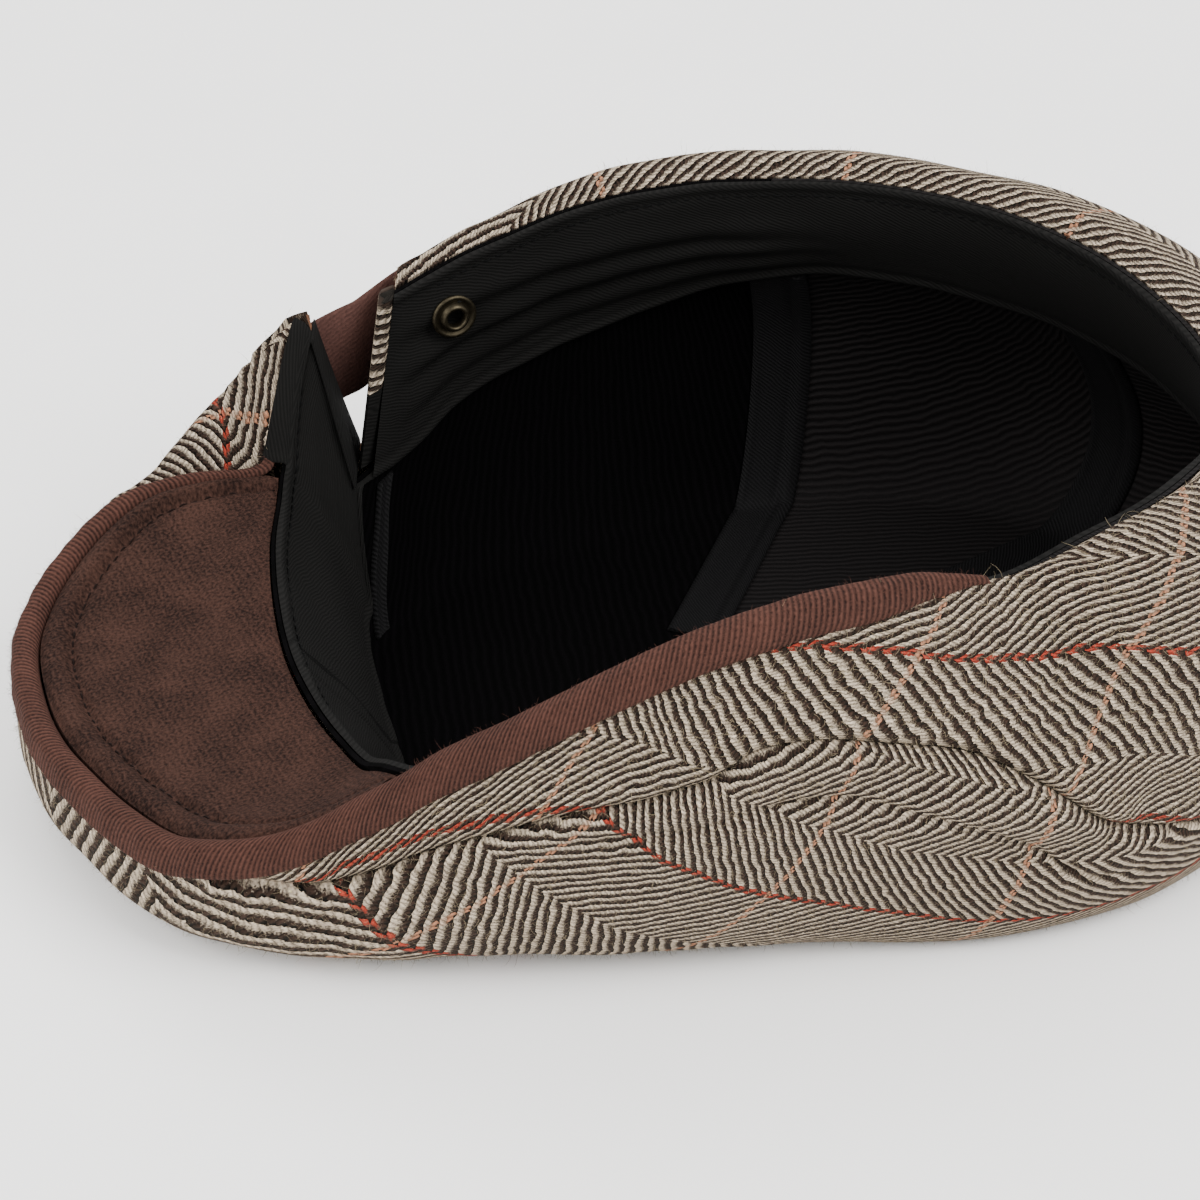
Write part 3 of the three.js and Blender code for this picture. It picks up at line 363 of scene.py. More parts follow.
class Sections:
    """Section lines of a wall, one polyline of radius and height for each turn."""

    def __init__(self, points: np.ndarray) -> None:
        """Measures the lines.

        Args:
            points: Array of shape (turns, n, 2).
        """
        self.points = points
        self.along = lengths(points)
        self.total = self.along[:, -1:]

    def at(self, depth: np.ndarray) -> np.ndarray:
        """Points of the lines.

        Args:
            depth: Distances along each line, of shape (turns, n).

        Returns:
            Array of shape (turns, n, 2).
        """
        columns = [
            [np.interp(d, a, p[:, k]) for d, a, p in zip(depth, self.along, self.points)]
            for k in (0, 1)
        ]
        return np.stack([np.array(c) for c in columns], axis=-1)

    def normal(self, depth: np.ndarray) -> np.ndarray:
        """Unit normals of the lines, pointing out of the cap.

        Args:
            depth: Distances along each line, of shape (turns, n).

        Returns:
            Array of shape (turns, n, 2).
        """
        d = self.at(depth + NORMAL_REACH) - self.at(depth - NORMAL_REACH)
        return unit(np.stack([-d[..., 1], d[..., 0]], axis=-1))

    def inset(self, depth: np.ndarray, distance: float | np.ndarray) -> np.ndarray:
        """Points moved into the cap along the normals."""
        return self.at(depth) - self.normal(depth) * np.asarray(distance)[..., None]


WALL_TABLE = Table(WALL_KEYS, WALL)
BOWL_TABLE = Table(BOWL_KEYS, BOWL)
BAND_TABLE = Table(BAND_KEYS, BAND, ring=False)
CREASE_TABLE = Table(CREASE_KEYS, CREASE, ring=False)
SLIDE_TABLE = Table(SLIDE_KEYS, SLIDE, ring=False)


def wall_sections(turns: np.ndarray) -> Sections:
    """Outside of the tweed, from its edge over the crest to the rim of the flat.

    Args:
        turns: Turns in degrees.

    Returns:
        The section lines.
    """
    w = WALL_TABLE.at(turns)
    edge = pair(w["edge_r"], w["edge_z"])
    crest = edge + pair(w["out"], w["up"])
    wide = pair(w["wide_r"], w["wide_z"])
    reach = 0.42 * np.linalg.norm(wide - crest, axis=1)
    lean = np.radians(w["lean"])
    zero = np.zeros(len(turns))
    leave = crest + pair(reach * np.cos(lean), -reach * np.sin(lean))
    arrive = wide + pair(zero, 0.4 * (crest[:, 1] - wide[:, 1]))
    low = pair(w["foot_r"] + 0.5 * (w["wide_r"] - w["foot_r"]), zero)
    roll = bezier((edge, edge + pair(0.4 * w["out"], zero), crest - pair(0.6 * w["out"], zero),
                   crest), ROLL_STEPS)
    side = bezier((crest, leave, arrive, wide), SIDE_STEPS)
    belly = bezier((wide, pair(w["wide_r"], 0.42 * w["wide_z"]), low, pair(w["foot_r"], zero)),
                   BELLY_STEPS)
    return Sections(np.concatenate([roll, side[:, 1:], belly[:, 1:]], axis=1))


def bowl_sections(turns: np.ndarray) -> Sections:
    """Outside of the lining, from its open edge to the rim of its floor.

    Args:
        turns: Turns in degrees.

    Returns:
        The section lines.
    """
    b = BOWL_TABLE.at(turns)
    floor = TWEED + GAP
    level = np.full(len(turns), floor)
    drop = b["open_z"] - b["wide_z"]
    inward = np.minimum(0, b["wide_r"] - b["open_r"])
    steep = (b["wide_z"] - floor) / drop
    wide = pair(b["wide_r"], b["wide_z"])
    wall = bezier((
        pair(b["open_r"], b["open_z"]),
        pair(b["open_r"] + 0.35 * inward, b["open_z"] - 0.4 * drop),
        pair(b["wide_r"] - 0.3 * inward, b["wide_z"] + 0.4 * drop),
        wide,
    ), SIDE_STEPS)
    belly = bezier((
        wide,
        pair(b["wide_r"] + 0.4 * inward * steep, floor + (b["wide_z"] - floor) * 0.5),
        pair(b["floor_r"] + 0.45 * (b["wide_r"] - b["floor_r"]), level),
        pair(b["floor_r"], level),
    ), BELLY_STEPS)
    return Sections(np.concatenate([wall, belly[:, 1:]], axis=1))


def normals_of(grid: np.ndarray, ring: bool) -> np.ndarray:
    """Unit normals of a grid of points, pointing out of the cap.

    Args:
        grid: Array of shape (turns, n, 3).
        ring: Whether the first and last turns are neighbours.

    Returns:
        Array of the same shape.
    """
    if ring:
        wide = np.concatenate([grid[-1:], grid, grid[:1]])
        along = (wide[2:] - wide[:-2]) / 2
    else:
        along = np.gradient(grid, axis=0)
    return unit(np.cross(np.gradient(grid, axis=1), along))


def slack(turns: np.ndarray, depth: np.ndarray, size: float) -> np.ndarray:
    """Gentle unevenness of hand-handled cloth, between about -1 and 1.

    Args:
        turns: Turns in degrees, of the depth's shape.
        depth: Depths along the cloth.
        size: Typical length of one swelling, in millimetres.

    Returns:
        Push out at each point.
    """
    a = turns * MM_PER_DEGREE / size
    b = depth / size
    waves = ((2.1, 1.3, 0.4), (-1.4, 2.4, 2.1), (3.3, 0.7, 4.2), (0.9, -3.1, 1.1))
    return sum(np.sin(p * a + q * b + r) for p, q, r in waves) / 3.2


def closing(u: np.ndarray, least: float) -> np.ndarray:
    """Even steps from zero to one, drawn closer together at both ends.

    Args:
        u: The even steps.
        least: How even they stay at the middle, up to one.

    Returns:
        The drawn steps.
    """
    swing = np.cos(np.pi * u)
    return 0.5 - 0.5 * swing * (least + (1 - least) * np.abs(swing))


def link(name: str, data: bpy.types.ID) -> bpy.types.Object:
    """Adds an object with its data to the scene.

    Args:
        name: Name of the object.
        data: Its mesh, light or camera.

    Returns:
        The new object.
    """
    made = bpy.data.objects.new(name, data)
    bpy.context.scene.collection.objects.link(made)
    return made


def aim(made: bpy.types.Object, at: Sequence[float], target: Sequence[float]) -> None:
    """Sets an object at a place with its -Z towards a target.

    Args:
        made: The object.
        at: Its place in metres.
        target: What it is aimed at.
    """
    made.location = at
    made.rotation_mode = "QUATERNION"
    made.rotation_quaternion = (Vector(target) - Vector(at)).to_track_quat("-Z", "Y")


def triangles(mesh: bpy.types.Mesh) -> np.ndarray:
    """Corners of a mesh's triangles.

    Args:
        mesh: The mesh.

    Returns:
        Array of shape (triangles, 3, 3), in metres.
    """
    mesh.calc_loop_triangles()
    corner = np.empty(len(mesh.loop_triangles) * 3, np.int64)
    mesh.loop_triangles.foreach_get("vertices", corner)
    place = np.empty(len(mesh.vertices) * 3)
    mesh.vertices.foreach_get("co", place)
    return place.reshape(-1, 3)[corner.reshape(-1, 3)]


def quads(rows: int, columns: int, ring: bool = False) -> np.ndarray:
    """Corner numbers of the quads between closed rows of points.

    Args:
        rows: Number of rows.
        columns: Points in each row.
        ring: Whether the last row joins the first.

    Returns:
        Array of shape (quads, 4).
    """
    i = np.arange(rows if ring else rows - 1)[:, None]
    j = np.arange(columns)[None, :]
    this, after = i * columns, (i + 1) % rows * columns
    k = (j + 1) % columns
    return np.stack([this + j, this + k, after + k, after + j], axis=-1).reshape(-1, 4)


class MeshMaker:
    """Turns grids of points into closed, smooth cloth meshes."""

    @staticmethod
    def shell(
        name: str,
        outer: np.ndarray,
        inner: np.ndarray,
        grain: np.ndarray,
        ring: bool = False,
    ) -> bpy.types.Object:
        """Makes a closed body from an outer and an inner grid.

        Args:
            name: Name of the piece.
            outer: Outer points, of shape (turns, n, 3), in millimetres.
            inner: Inner points of the same shape.
            grain: Cloth coordinates in millimetres, of shape (turns, n, 2).
            ring: Whether the grid closes round the cap.

        Returns:
            The new object.
        """
        rows, size = outer.shape[:2]
        half = rows * size
        faces = []
        for i in range(rows if ring else rows - 1):
            a, b = i * size, (i + 1) % rows * size
            for j in range(size - 1):
                faces.append((a + j, a + j + 1, b + j + 1, b + j))
                faces.append((half + a + j, half + b + j, half + b + j + 1, half + a + j + 1))
            faces.append((a, b, half + b, half + a))
            faces.append((b + size - 1, a + size - 1, half + a + size - 1, half + b + size - 1))
        if not ring:
            last = (rows - 1) * size
            for j in range(size - 1):
                faces.append((j + 1, j, half + j, half + j + 1))
                faces.append((last + j, last + j + 1, half + last + j + 1, half + last + j))
        return MeshMaker.build(name, np.concatenate([outer, inner]), faces,
                               np.concatenate([grain, grain]))

    @staticmethod
    def tube(
        name: str, rings: np.ndarray, grain: np.ndarray | None = None
    ) -> bpy.types.Object:
        """Makes a closed body swept through rings of points.

        Args:
            name: Name of the piece.
            rings: Array of shape (stations, points, 3), in millimetres.
            grain: Cloth coordinates of shape (stations, points, 2), worked out if left out.

        Returns:
            The new object.
        """
        count, size = rings.shape[:2]
        if grain is None:
            grain = pair(lengths(rings.mean(axis=1))[:, None], lengths(rings))
        return MeshMaker.build(name, rings, MeshMaker.rod(count, size), grain)

    @staticmethod
    def rod(count: int, size: int, first: int = 0) -> list[list[int]]:
        """Corner numbers of a rod with two flat ends.

        Args:
            count: Number of its rings.
            size: Points in each ring.
            first: Number of its first point.

        Returns:
            The faces.
        """
        last = first + (count - 1) * size
        ends = [list(range(first, first + size))[::-1], list(range(last, last + size))]
        return (quads(count, size) + first).tolist() + ends

    @staticmethod
    def build(
        name: str,
        points: np.ndarray,
        faces: Sequence[Sequence[int]],
        grain: np.ndarray | None = None,
    ) -> bpy.types.Object:
        """Makes one object, with its faces turned outward and shaded smooth.

        Args:
            name: Name of the piece.
            points: Array of shape (..., 3), in millimetres.
            faces: Corner numbers of each face.
            grain: Cloth coordinates of each point, in millimetres.

        Returns:
            The new object.
        """
        mesh = bpy.data.meshes.new(name)
        mesh.from_pydata((points.reshape(-1, 3) * MM).tolist(), [], faces)
        mesh.validate()
        if grain is not None:
            layer = mesh.uv_layers.new(name=GRAIN_LAYER)
            corner = np.empty(len(mesh.loops), np.int64)
            mesh.loops.foreach_get("vertex_index", corner)
            uv = grain.reshape(-1, 2)[corner]
            layer.data.foreach_set("uv", uv.astype(np.float32).ravel())
        a, b, c = triangles(mesh).transpose(1, 0, 2)
        if np.einsum("ij,ij->", a, np.cross(b, c)) < 0:
            mesh.flip_normals()
        mesh.shade_smooth()
        mesh.set_sharp_from_angle(angle=SHARP_ANGLE)
        return link(name, mesh)


def linear(code: str) -> tuple[float, float, float, float]:
    """Turns an sRGB hex value into a linear colour.

    Args:
        code: A hash and six hex digits.

    Returns:
        Red, green, blue and alpha.
    """
    parts = [int(code[k:k + 2], 16) / 255 for k in (1, 3, 5)]
    red, green, blue = (v / 12.92 if v <= 0.04045 else ((v + 0.055) / 1.055) ** 2.4 for v in parts)
    return (red, green, blue, 1.0)


# What a row of a finish may add: node type, settings, the inputs that its terms fill, and the
# output that its name stands for. Any other word is an operation of a math node.
KINDS = {
    "GRAIN": ("ShaderNodeUVMap", {"uv_map": GRAIN_LAYER}, (), 0),
    "PLACE": ("ShaderNodeTexCoord", {}, (), "Object"),
    "AXES": ("ShaderNodeSeparateXYZ", {}, (0,), 0),
    "CLOUDS": ("ShaderNodeTexNoise", {}, ("Vector", "Scale", "Detail"), 0),
    "CHANNELS": ("ShaderNodeSeparateColor", {}, (0,), 0),
    "GREY": ("ShaderNodeCombineColor", {}, (0, 1, 2), 0),
    "CLAMP": ("ShaderNodeClamp", {}, (0,), 0),
    "BLEND": ("ShaderNodeMix", {"data_type": "RGBA"}, (0, 6, 7), 2),
    "TINT": ("ShaderNodeMix", {"data_type": "RGBA", "blend_type": "MULTIPLY"}, (0, 6, 7), 2),
}


class Shader:
    """Node tree of one cloth, thread or metal."""

    def __init__(self, name: str) -> None:
        """Starts an empty material.

        Args:
            name: Name of the material.
        """
        self.material = bpy.data.materials.new(name)
        self.material.use_nodes = True
        self.tree = self.material.node_tree
        self.tree.nodes.clear()

    def add(
        self, kind: str, settings: dict[str, object], inputs: dict[str | int, object]
    ) -> bpy.types.Node:
        """Adds one node.

        Args:
            kind: Node type.
            settings: Its properties by name.
            inputs: A number, a hex or linear colour or a socket for each input, by name or
                number.

        Returns:
            The new node.
        """
        made = self.tree.nodes.new(kind)
        for key, value in settings.items():
            setattr(made, key, value)
        for key, value in inputs.items():
            if isinstance(value, bpy.types.NodeSocket):
                self.tree.links.new(value, made.inputs[key])
            else:
                made.inputs[key].default_value = linear(value) if isinstance(value, str) else value
        return made

    def lay(self, rows: Rows) -> dict[str, bpy.types.NodeSocket]:
        """Adds a node for each row of a finish.

        Args:
            rows: Name of the result, what it is, and its terms: names of earlier results,
                numbers and colours.

        Returns:
            The results by name, and as "name.1" the second output of a node.
        """
        known = {}
        for name, what, *terms in rows:
            kind, settings, slots, main = KINDS.get(
                what, ("ShaderNodeMath", {"operation": what}, (0, 1, 2), 0)
            )
            made = self.add(kind, settings, {k: known.get(t, t) for k, t in zip(slots, terms)})
            known[name] = made.outputs[main]
            known.update({f"{name}.{k}": out for k, out in enumerate(made.outputs)})
        return known

    def finish(
        self,
        surface: dict[str, object],
        height: bpy.types.NodeSocket | None = None,
        depth: float = 0.0,
    ) -> bpy.types.Material:
        """Closes the tree with a surface shader.

        Args:
            surface: Inputs of the surface shader.
            height: Height of the relief, if there is one.
            depth: Relief for a height of one, in millimetres.

        Returns:
            The material.
        """
        if height is not None:
            relief = self.add("ShaderNodeBump", {}, {
                "Strength": 1.0, "Distance": depth * MM, "Height": height,
            })
            surface = {**surface, "Normal": relief.outputs[0]}
        shader = self.add("ShaderNodeBsdfPrincipled", {}, surface)
        self.add("ShaderNodeOutputMaterial", {}, {0: shader.outputs[0]})
        return self.material


class Strip(Enum):
    """Which way the cords of a woven strip run."""

    ALONG = "along"
    ACROSS = "across"


def clouded(
    dark: str | tuple[float, ...], light: str, clouds: float, detail: float
) -> Rows:
    """Rows of a surface whose two tones lie in small clouds.

    Args:
        dark: Darker colour.
        light: Lighter colour.
        clouds: Number of clouds to a metre.
        detail: How ragged they are.

    Returns:
        The rows.
    """
    return (
        ("place", "PLACE"),
        ("cloud", "CLOUDS", "place", clouds, detail),
        ("tone", "BLEND", "cloud", dark, light),
    )


# Woollen cloth, spun from dyed fleece and woven two over two. Its loose fibres scatter the
# light, so the eye sees matt stripes with soft, ragged edges and no gloss.
@dataclass(frozen=True)
class HerringboneTweed:
    """Hairy wool tweed woven two over two, turning back at each column's spine.

    The light warp and the dark weft show as slanted stripes of short floats, and single
    coloured threads of both systems show as dashed lines. The threads are drawn a little
    coarser than in the real cloth, so that the wales show. A pick and a sett are the width of a
    weft and a warp thread in millimetres, a column and the distances between the coloured
    lines are in threads, and the clouds of unevenness are counted to the millimetre.
    """

    name: str
    warp: str = "#c2b19b"
    warp_shade: str = "#8f8170"
    weft: str = "#18100b"
    weft_shade: str = "#382a23"
    warp_line: str = "#8f2819"
    weft_line: str = "#a8765a"
    fleck: str = "#cbbd92"
    pick: float = 1.0
    sett: float = 0.667
    column: int = 36
    cover: float = 1.43
    slant: float = 1.0
    warp_line_every: int = 216
    warp_line_at: int = 0
    warp_line_next: int = 72
    weft_line_every: int = 67
    weft_line_at: int = 0
    weft_line_gain: float = 0.0
    line_half: float = 0.9
    sways: float = 0.22
    hairs: float = 1.7
    rags: float = 3.1
    heathers: float = 0.55
    flecks: float = 1.1
    fleck_from: float = 0.70
    roughness: float = 0.95
    relief: float = 0.30

    def thread_rows(self, name: str, along: str, width: float) -> Rows:
        """Rows for the number of the thread here, the place across it and its round back.

        Args:
            name: Name of the thread, a pick or an end.
            along: Cloth coordinate across the thread.
            width: Its width in millimetres.

        Returns:
            The rows.
        """
        return (
            (f"{name}s", "DIVIDE", along, width),
            (name, "FLOOR", f"{name}s"),
            (f"in_{name}", "FRACT", f"{name}s"),
            (f"off_{name}", "SUBTRACT", f"in_{name}", 0.5),
            (f"{name}_sq", "MULTIPLY", f"off_{name}", f"off_{name}"),
            (f"{name}_back", "MULTIPLY_ADD", f"{name}_sq", -4.0, 1.0),
        )

    def float_rows(self, name: str, place: str, middle: float, back: str) -> Rows:
        """Rows for the height of a float, arched along its run.

        Args:
            name: Name of its system, warp or weft.
            place: How far along its pick the float is met here.
            middle: Place of its middle, in picks.
            back: Round back of its thread.

        Returns:
            The rows.
        """
        return (
            (f"{name}_at", "ADD", "float", place),
            (f"{name}_mid", "SUBTRACT", f"{name}_at", middle),
            (f"{name}_run", "MULTIPLY", f"{name}_mid", f"{name}_mid"),
            (f"{name}_arch", "SUBTRACT", 1.0, f"{name}_run"),
            (f"{name}_bow", "MULTIPLY_ADD", f"{name}_arch", 0.6, 0.4),
            (f"{name}_high", "MULTIPLY", back, f"{name}_bow"),
        )

    def weave(self) -> Rows:
        """Rows that work out which thread lies on top, and how high, from thread numbers.

        Returns:
            The rows.
        """
        return (
            ("uv", "GRAIN"),
            ("at", "AXES", "uv"),
            ("wobble", "CLOUDS", "uv", self.sways, 3.0),
            ("hair", "CLOUDS", "uv", self.hairs, 3.0),
            ("ragged", "CLOUDS", "uv", self.rags, 2.0),
            # The threads never lie quite straight.
            ("sway", "CHANNELS", "wobble.1"),
            ("sway_a", "MULTIPLY_ADD", "sway.0", 2.2, -1.1),
            ("sway_b", "MULTIPLY_ADD", "sway.1", 2.2, -1.1),
            ("fuzz", "MULTIPLY_ADD", "hair", 0.6, -0.3),
            ("bent_a", "ADD", "sway_a", "fuzz"),
            ("bent_b", "SUBTRACT", "sway_b", "fuzz"),
            ("a", "ADD", "at.0", "bent_a"),
            ("b", "ADD", "at.1", "bent_b"),
            *self.thread_rows("pick", "a", self.pick),
            *self.thread_rows("end", "b", self.sett),
            # The wales lean one way in even columns and the other in odd ones.
            ("from_spine", "SUBTRACT", "end", float(self.warp_line_at)),
            ("columns", "DIVIDE", "from_spine", float(self.column)),
            ("column", "FLOOR", "columns"),
            ("odd", "FLOORED_MODULO", "column", 2.0),
            ("lean", "MULTIPLY_ADD", "odd", -2.0 * self.slant, self.slant),
            # Place in the four picks after which a float comes again.
            ("step", "MULTIPLY_ADD", "lean", "from_spine", "pick"),
            ("float", "FLOORED_MODULO", "step", 4.0),
            ("slip", "MULTIPLY_ADD", "lean", "off_end", "off_pick"),
            ("slid", "MULTIPLY_ADD", "slip", 0.5, "step"),
            ("in_float", "FLOORED_MODULO", "slid", 4.0),
            ("past", "SUBTRACT", "in_float", 0.5),
            ("away", "ABSOLUTE", "past"),
            ("edge", "SUBTRACT", self.cover, "away"),
            ("rough", "MULTIPLY_ADD", "ragged", 3.4, -1.2),
            ("soft", "MULTIPLY_ADD", "edge", 2.0, "rough"),
            ("on", "CLAMP", "soft"),
            ("off", "SUBTRACT", 1.0, "on"),
            *self.float_rows("warp", "in_pick", 1.0, "end_back"),
            ("weft_slip", "MULTIPLY", "lean", "off_end"),
            *self.float_rows("weft", "weft_slip", 2.5, "pick_back"),
            ("warp_part", "MULTIPLY", "warp_high", "on"),
            ("high", "MULTIPLY_ADD", "weft_high", "off", "warp_part"),
        )

    def lines(self) -> Rows:
        """Rows that say how much of a red warp line or a peach weft line shows.

        Returns:
            The rows.
        """
        half = self.line_half
        tall = half / self.sett
        second = self.warp_line_next % self.warp_line_every
        return (
            ("from_line", "SUBTRACT", "ends", self.warp_line_at - tall),
            ("in_check", "FLOORED_MODULO", "from_line", float(self.warp_line_every)),
            ("first", "SUBTRACT", "in_check", tall),
            ("second", "SUBTRACT", "in_check", second + tall),
            ("to_first", "ABSOLUTE", "first"),
            ("to_second", "ABSOLUTE", "second"),
            ("to_line", "MINIMUM", "to_first", "to_second"),
            ("is_red", "LESS_THAN", "to_line", tall),
            ("red_share", "MULTIPLY_ADD", "on", 0.75, 0.2),
            ("red", "MULTIPLY", "is_red", "red_share"),
            # The weft lines draw closer together ahead of the first where the cloth is eased.
            ("ahead", "MAXIMUM", "picks", 0.0),
            ("spaced", "MULTIPLY_ADD", "ahead", self.weft_line_gain, "picks"),
            ("from_pick", "SUBTRACT", "spaced", self.weft_line_at - half),
            ("in_row", "FLOORED_MODULO", "from_pick", float(self.weft_line_every)),
            ("off_row", "SUBTRACT", "in_row", half),
            ("to_row", "ABSOLUTE", "off_row"),
            ("is_peach", "LESS_THAN", "to_row", half),
            ("peach_share", "MULTIPLY_ADD", "off", 0.55, 0.3),
            ("peach", "MULTIPLY", "is_peach", "peach_share"),
        )

    def colours(self) -> Rows:
        """Rows that colour the threads, with heathered dye, pale flecks and shaded hollows.

        Returns:
            The rows.
        """
        return (
            ("heather", "CLOUDS", "uv", self.heathers, 4.0),
            ("spread", "MULTIPLY_ADD", "heather", 2.4, -0.7),
            ("dye", "CLAMP", "spread"),
            ("fleck", "CLOUDS", "uv", self.flecks, 1.0),
            ("fleck_over", "SUBTRACT", "fleck", self.fleck_from),
            ("fleck_up", "MULTIPLY", "fleck_over", 14.0),
            ("fleck_full", "MAXIMUM", "fleck_up", 0.0),
            ("fleck_warp", "MULTIPLY", "fleck_full", "on"),
            ("pale", "MINIMUM", "fleck_warp", 0.7),
            ("grit", "MULTIPLY_ADD", "ragged", 1.7, -0.45),
            # Painted shade: the colour is darkened by the thread height, so the hollows between
            # threads and the ends of floats are darker; the grit adds random tone.
            ("shade", "MULTIPLY_ADD", "high", 0.66, "grit"),
            ("shades", "GREY", "shade", "shade", "shade"),
            ("warp_dyed", "BLEND", "dye", self.warp, self.warp_shade),
            ("warp", "BLEND", "red", "warp_dyed", self.warp_line),
            ("weft", "BLEND", "dye", self.weft, self.weft_shade),
            ("woven", "BLEND", "on", "weft", "warp"),
            ("lined", "BLEND", "peach", "woven", self.weft_line),
            ("flecked", "BLEND", "pale", "lined", self.fleck),
            ("cloth", "TINT", 1.0, "flecked", "shades"),
        )

    def build(self) -> bpy.types.Material:
        """Weaves the cloth.

        Returns:
            The material.
        """
        s = Shader(self.name)
        made = s.lay(self.weave() + self.lines() + self.colours())
        return s.finish({
            "Base Color": made["cloth"],
            "Roughness": self.roughness,
            "Sheen Weight": 0.05,
            "Sheen Roughness": 0.6,
            "Sheen Tint": self.warp,
            "Specular IOR Level": 0.08,
        }, made["high"], self.relief)


# Fulled woollen cloth with fine cords, woven for bindings and brushed for the peak. Its colour
# follows its relief, so each cord's back has a painted highlight, and the nap blurs it into a
# soft, cloudy brown.
@dataclass(frozen=True)
class RibbedWool:
    """Napped wool with fine cords, a pitch in millimetres apart."""

    name: str
    body: str
    light: str
    pitch: float
    cord: float
    nap: float = 1.4
    relief: float = 0.25
    sheen: float = 0.35
    contrast: float = 1.5
    strip: Strip = Strip.ALONG
    clouds: float = 0.09

    def build(self) -> bpy.types.Material:
        """Builds the cords and the nap.

        Returns:
            The material.
        """
        run, slant = ("at.0", "at.1") if self.strip is Strip.ALONG else ("at.1", "at.0")
        s = Shader(self.name)
        made = s.lay((
            ("uv", "GRAIN"),
            ("at", "AXES", "uv"),
            ("nap", "CLOUDS", "uv", self.nap, 5.0),
            ("cloud", "CLOUDS", "uv", self.clouds, 3.0),
            ("lean", "MULTIPLY_ADD", slant, 0.25, run),
            ("bent", "MULTIPLY_ADD", "nap", 0.55, "lean"),
            ("turns", "MULTIPLY", "bent", 2 * math.pi / self.pitch),
            ("wave", "SINE", "turns"),
            ("back", "MULTIPLY_ADD", "wave", 0.5, 0.5),
            ("cord", "MULTIPLY", "back", self.cord),
            ("high", "MULTIPLY_ADD", "nap", 1.0 - self.cord, "cord"),
            ("cloudy", "MULTIPLY_ADD", "cloud", 0.4, -0.2),
            ("sum", "ADD", "high", "cloudy"),
            ("spread", "MULTIPLY_ADD", "sum", self.contrast, 0.5 - 0.5 * self.contrast),
            ("share", "CLAMP", "spread"),
            # Painted highlight: the blend follows the relief's height, so the cords' backs and the
            # raised nap are lighter; the clouds add random tone.
            ("cloth", "BLEND", "share", self.body, self.light),
        ))
        return s.finish({
            "Base Color": made["cloth"],
            "Roughness": 0.95,
            "Sheen Weight": self.sheen,
            "Sheen Roughness": 0.45,
            "Sheen Tint": self.light,
            "Specular IOR Level": 0.1,
        }, made["high"], self.relief)


# Piece-dyed cotton and viscose twill, pressed smooth. A painted highlight, a dull lustre, lies
# along the backs of the slanted ribs, and the rest stays nearly black.
@dataclass(frozen=True)
class Twill:
    """Dark lining twill with soft ribs, a pitch in millimetres apart."""

    name: str
    body: str
    light: str
    pitch: float
    roughness: float
    slope: float
    relief: float
    gloss: float = 0.1
    sways: float = 0.12
    yarns: float = 2.2

    def build(self) -> bpy.types.Material:
        """Builds the slanted ribs.

        Returns:
            The material.
        """
        s = Shader(self.name)
        made = s.lay((
            ("uv", "GRAIN"),
            ("at", "AXES", "uv"),
            ("uneven", "CLOUDS", "uv", self.sways, 2.0),
            ("fine", "CLOUDS", "uv", self.yarns, 3.0),
            ("lean", "MULTIPLY_ADD", "at.0", self.slope, "at.1"),
            ("bent", "MULTIPLY_ADD", "uneven", 2.4, "lean"),
            ("turns", "MULTIPLY", "bent", 2 * math.pi / self.pitch),
            ("wave", "SINE", "turns"),
            ("rib", "MULTIPLY_ADD", "wave", 0.5, 0.5),
            ("high", "MULTIPLY_ADD", "fine", 0.6, "rib"),
            ("spread", "MULTIPLY_ADD", "high", 0.7, -0.1),
            ("share", "MINIMUM", "spread", 1.0),
            # Painted highlight: the blend follows the ribs' height, so their backs are lighter,
            # with random tone from the fine yarn clouds.
            ("cloth", "BLEND", "share", self.body, self.light),
        ))
        return s.finish({
            "Base Color": made["cloth"],
            "Roughness": self.roughness,
            "Specular IOR Level": self.gloss,
        }, made["high"], self.relief)


# Spun polyester sewing thread, dyed in the hank. Its twist shows as a matt, faintly speckled
# line, with painted shade in the low spots of the twist.
@dataclass(frozen=True)
class SewingThread:
    """Matt thread or loose fibre, with twists counted to the metre."""

    name: str
    colour: str
    twists: float = 2500.0
    twist_shade: float = 0.55

    def build(self) -> bpy.types.Material:
        """Builds the twist.

        Returns:
            The material.
        """
        s = Shader(self.name)
        # Painted shade: the colour falls to this share where the twist's clouds lower the relief.
        dark = tuple(self.twist_shade * c for c in linear(self.colour)[:3]) + (1.0,)
        made = s.lay(clouded(dark, self.colour, self.twists, 2.0))
        return s.finish({
            "Base Color": made["tone"],
            "Roughness": 0.8,
            "Specular IOR Level": 0.1,
        }, made["cloud"], 0.05)


# Sheet brass, stamped, darkened in an antique bath and then rubbed. Its hollows stay nearly
# black, and a dull gold shows where it stands proud.
@dataclass(frozen=True)
class AgedBrass:
    """Antique brass with a cloudy patina, its clouds counted to the metre."""

    name: str = "aged_brass"
    dark: str = "#1c1811"
    bright: str = "#524b3c"
    clouds: float = 900.0

    def build(self) -> bpy.types.Material:
        """Builds the rubbed patina.

        Returns:
            The material.
        """
        s = Shader(self.name)
        made = s.lay(clouded(self.dark, self.bright, self.clouds, 4.0))
        return s.finish({"Base Color": made["tone"], "Metallic": 1.0, "Roughness": 0.48},
                        made["cloud"], 0.04)


# Uncoated white board. It is matt, with a mottle so faint that only its shadow shows.
@dataclass(frozen=True)
class PaleBoard:
    """Matt white board under the cap, its clouds counted to the metre."""

    name: str = "pale_board"
    dark: str = "#f4f3f1"
    light: str = "#fbfaf9"
    clouds: float = 14.0

    def build(self) -> bpy.types.Material:
        """Builds the mottle.

        Returns:
            The material.
        """
        s = Shader(self.name)
        made = s.lay(clouded(self.dark, self.light, self.clouds, 3.0))
        return s.finish({"Base Color": made["tone"], "Roughness": 0.9})


